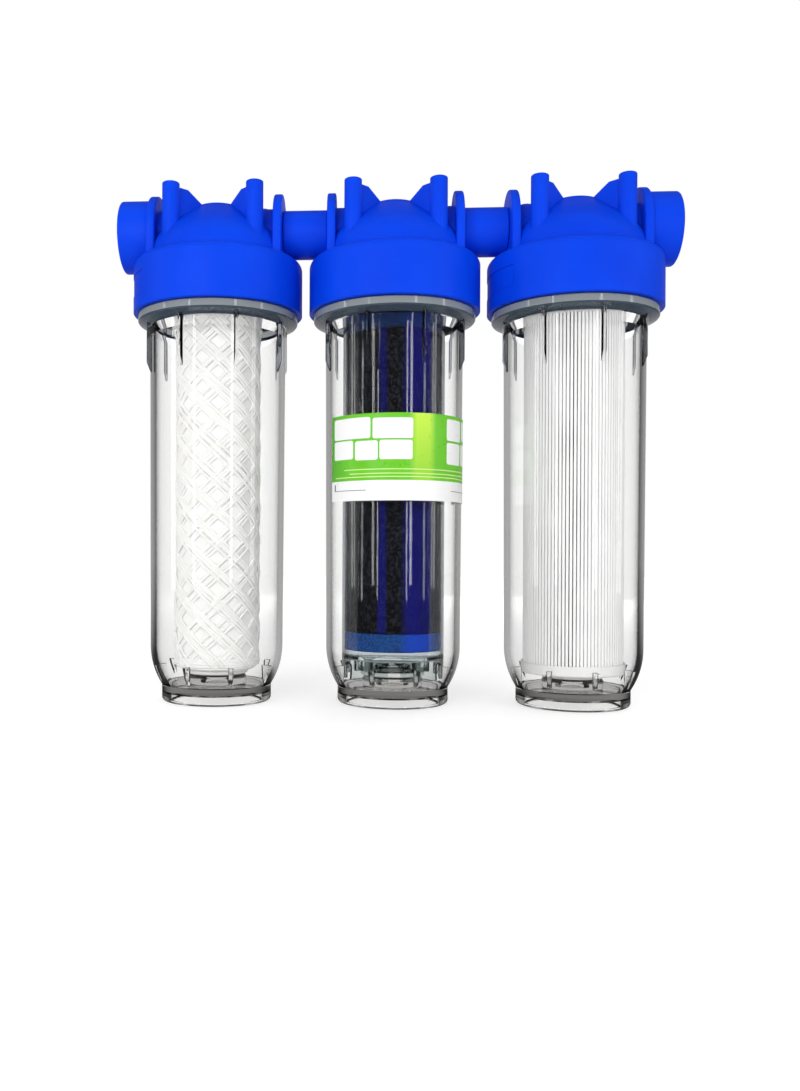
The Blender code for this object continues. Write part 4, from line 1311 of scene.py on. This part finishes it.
# Label round the middle bowl: green over a white foot band, with bare rounded panels
label = {
    "low": 0.140, "high": 0.198, "startDeg": -152, "endDeg": 15, "thickness": 0.0003, "gap": 0.0003,
    "levels": 6, "turnSteps": 120, "radius": 0.0482, "printEdge": 0.00012,
    "whiteHigh": 0.1535, "whiteEdge": 0.0001, "round": 0.0016, "ruleRound": 0.0003, "lineRound": 0.0002,
    # Painted shade on the label's left side, and a painted highlight band that is stronger towards the top
    "shadedSide": (-150, -128), "shadedDepth": 0.8, "highlightHeight": (0.154, 0.198), "highlightLeast": 0.35,
    "panels": [  # left and right in degrees, low and high in metres
        (-147.6, -110.2, 0.1815, 0.1955), (-108.3, -76.2, 0.1811, 0.1947), (-147.6, -125.6, 0.1680, 0.1805),
        (-123.7, -104.1, 0.1670, 0.1798), (-102.7, -76.6, 0.1672, 0.1800), (-44.3, -22.0, 0.1810, 0.1955),
        (-18.5, 12.0, 0.1825, 0.1960), (-44.2, -23.1, 0.1650, 0.1795), (-20.2, 12.0, 0.1655, 0.1800)],
    "rules": [(-135, 12, 0.1605, 0.1611), (-129, 12, 0.1577, 0.1583), (-146, 12, 0.1555, 0.1561)],
    "lines": [(-146, -114, 0.1468, 0.1472), (-147.5, -146, 0.1468, 0.1515), (-38, 13, 0.1468, 0.1472)],
    "highlightBand": (-76, -59),
}


def roundedPanel(finish, across, up, panel, radius):
    left, right, low, high = panel
    perDegree = math.pi / 180 * label["radius"]
    halfWidth, halfHeight = (right - left) / 2 * perDegree, (high - low) / 2
    offX = reckon(finish, "ABSOLUTE", reckon(finish, "SUBTRACT", across, (left + right) / 2))
    offX = reckon(finish, "MULTIPLY", offX, perDegree)
    offZ = reckon(finish, "ABSOLUTE", reckon(finish, "SUBTRACT", up, (low + high) / 2))
    squares = []
    for off, half in ((offX, halfWidth), (offZ, halfHeight)):
        past = reckon(finish, "MAXIMUM", reckon(finish, "SUBTRACT", off, half - radius), 0.0)
        squares.append(reckon(finish, "MULTIPLY", past, past))
    distance = reckon(finish, "SQRT", reckon(finish, "ADD", *squares))
    return spread(finish, distance, 1, 0, radius - label["printEdge"], radius + label["printEdge"])


def labelPrint():
    look = {"green": (0.125, 0.50, 0.012), "freshGreen": (0.135, 0.53, 0.014), "shadeGreen": (0.060, 0.36, 0.012),
            "light": (0.50, 0.76, 0.055), "white": (0.83, 0.83, 0.825), "pale": (0.62, 0.80, 0.30),
            "ink": (0.015, 0.03, 0.10), "rough": 0.32, "roughLow": 0.26, "roughHigh": 0.40, "film": 0.00003}
    finish, shader, coords = startFinish("labelPrint", look["green"], look["rough"])
    angle, level = angleAndHeight(finish, coords)
    cloud = addNoise(finish, coords, 60, 3)
    colour = blendColours(finish, cloud, look["green"], look["freshGreen"])
    # Painted shade: the label's left side turns to the dark green
    side = spread(finish, angle, label["shadedDepth"], 0, *label["shadedSide"])
    colour = mixColours(finish, side, colour, look["shadeGreen"])
    # Painted highlight: a band of the label turns pale green, more towards its top
    highlightMask = between(finish, angle, *label["highlightBand"], 3)
    high = spread(finish, level, label["highlightLeast"], 1, *label["highlightHeight"])
    colour = mixColours(finish, reckon(finish, "MULTIPLY", highlightMask, high), colour, look["light"])
    marks = {}
    for kind, radius in (("panels", "round"), ("rules", "ruleRound"), ("lines", "lineRound")):
        masks = [roundedPanel(finish, angle, level, panel, label[radius]) for panel in label[kind]]
        marks[kind] = masks[0]
        for mask in masks[1:]:
            marks[kind] = reckon(finish, "MAXIMUM", marks[kind], mask)
    white, soft = label["whiteHigh"], label["whiteEdge"]
    foot = spread(finish, level, 1, 0, white - soft, white + soft)
    for mask, tone in ((marks["rules"], "pale"), (marks["panels"], "white"), (foot, "white"),
                       (marks["lines"], "ink")):
        colour = mixColours(finish, mask, colour, look[tone])
    film = addNoise(finish, coords, 240, 3)
    fill(finish, shader, {"Base Color": colour,
                          "Roughness": spread(finish, film, look["roughLow"], look["roughHigh"])})
    bumpBy(finish, shader, film, look["film"], 0.4)
    return finish


def makeLabel():
    points = []
    for index in range(label["levels"] + 1):
        height = label["low"] + (label["high"] - label["low"]) * index / label["levels"]
        points.append((wallRadius(height) + label["gap"], height))
    sheet = drawLine("bowlLabel", points)
    sweep = math.radians(label["endDeg"] - label["startDeg"])
    selectAll()
    bpy.ops.mesh.spin(steps=label["turnSteps"], angle=sweep, center=(0, 0, 0), axis=(0, 0, 1))
    weld()
    faceOutwards()
    turnRound(sheet, label["endDeg"])
    film = sheet.modifiers.new("film", "SOLIDIFY")
    film.thickness = label["thickness"]
    film.offset = 1
    applyLast(sheet)
    editAll(sheet)
    faceOutwards()
    shade(sheet, 40)
    dress(sheet, labelPrint())
    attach(sheet, "bowl_2")
    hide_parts("label_2")
    print("label built")


makeLabel()

bpy.context.view_layer.update()
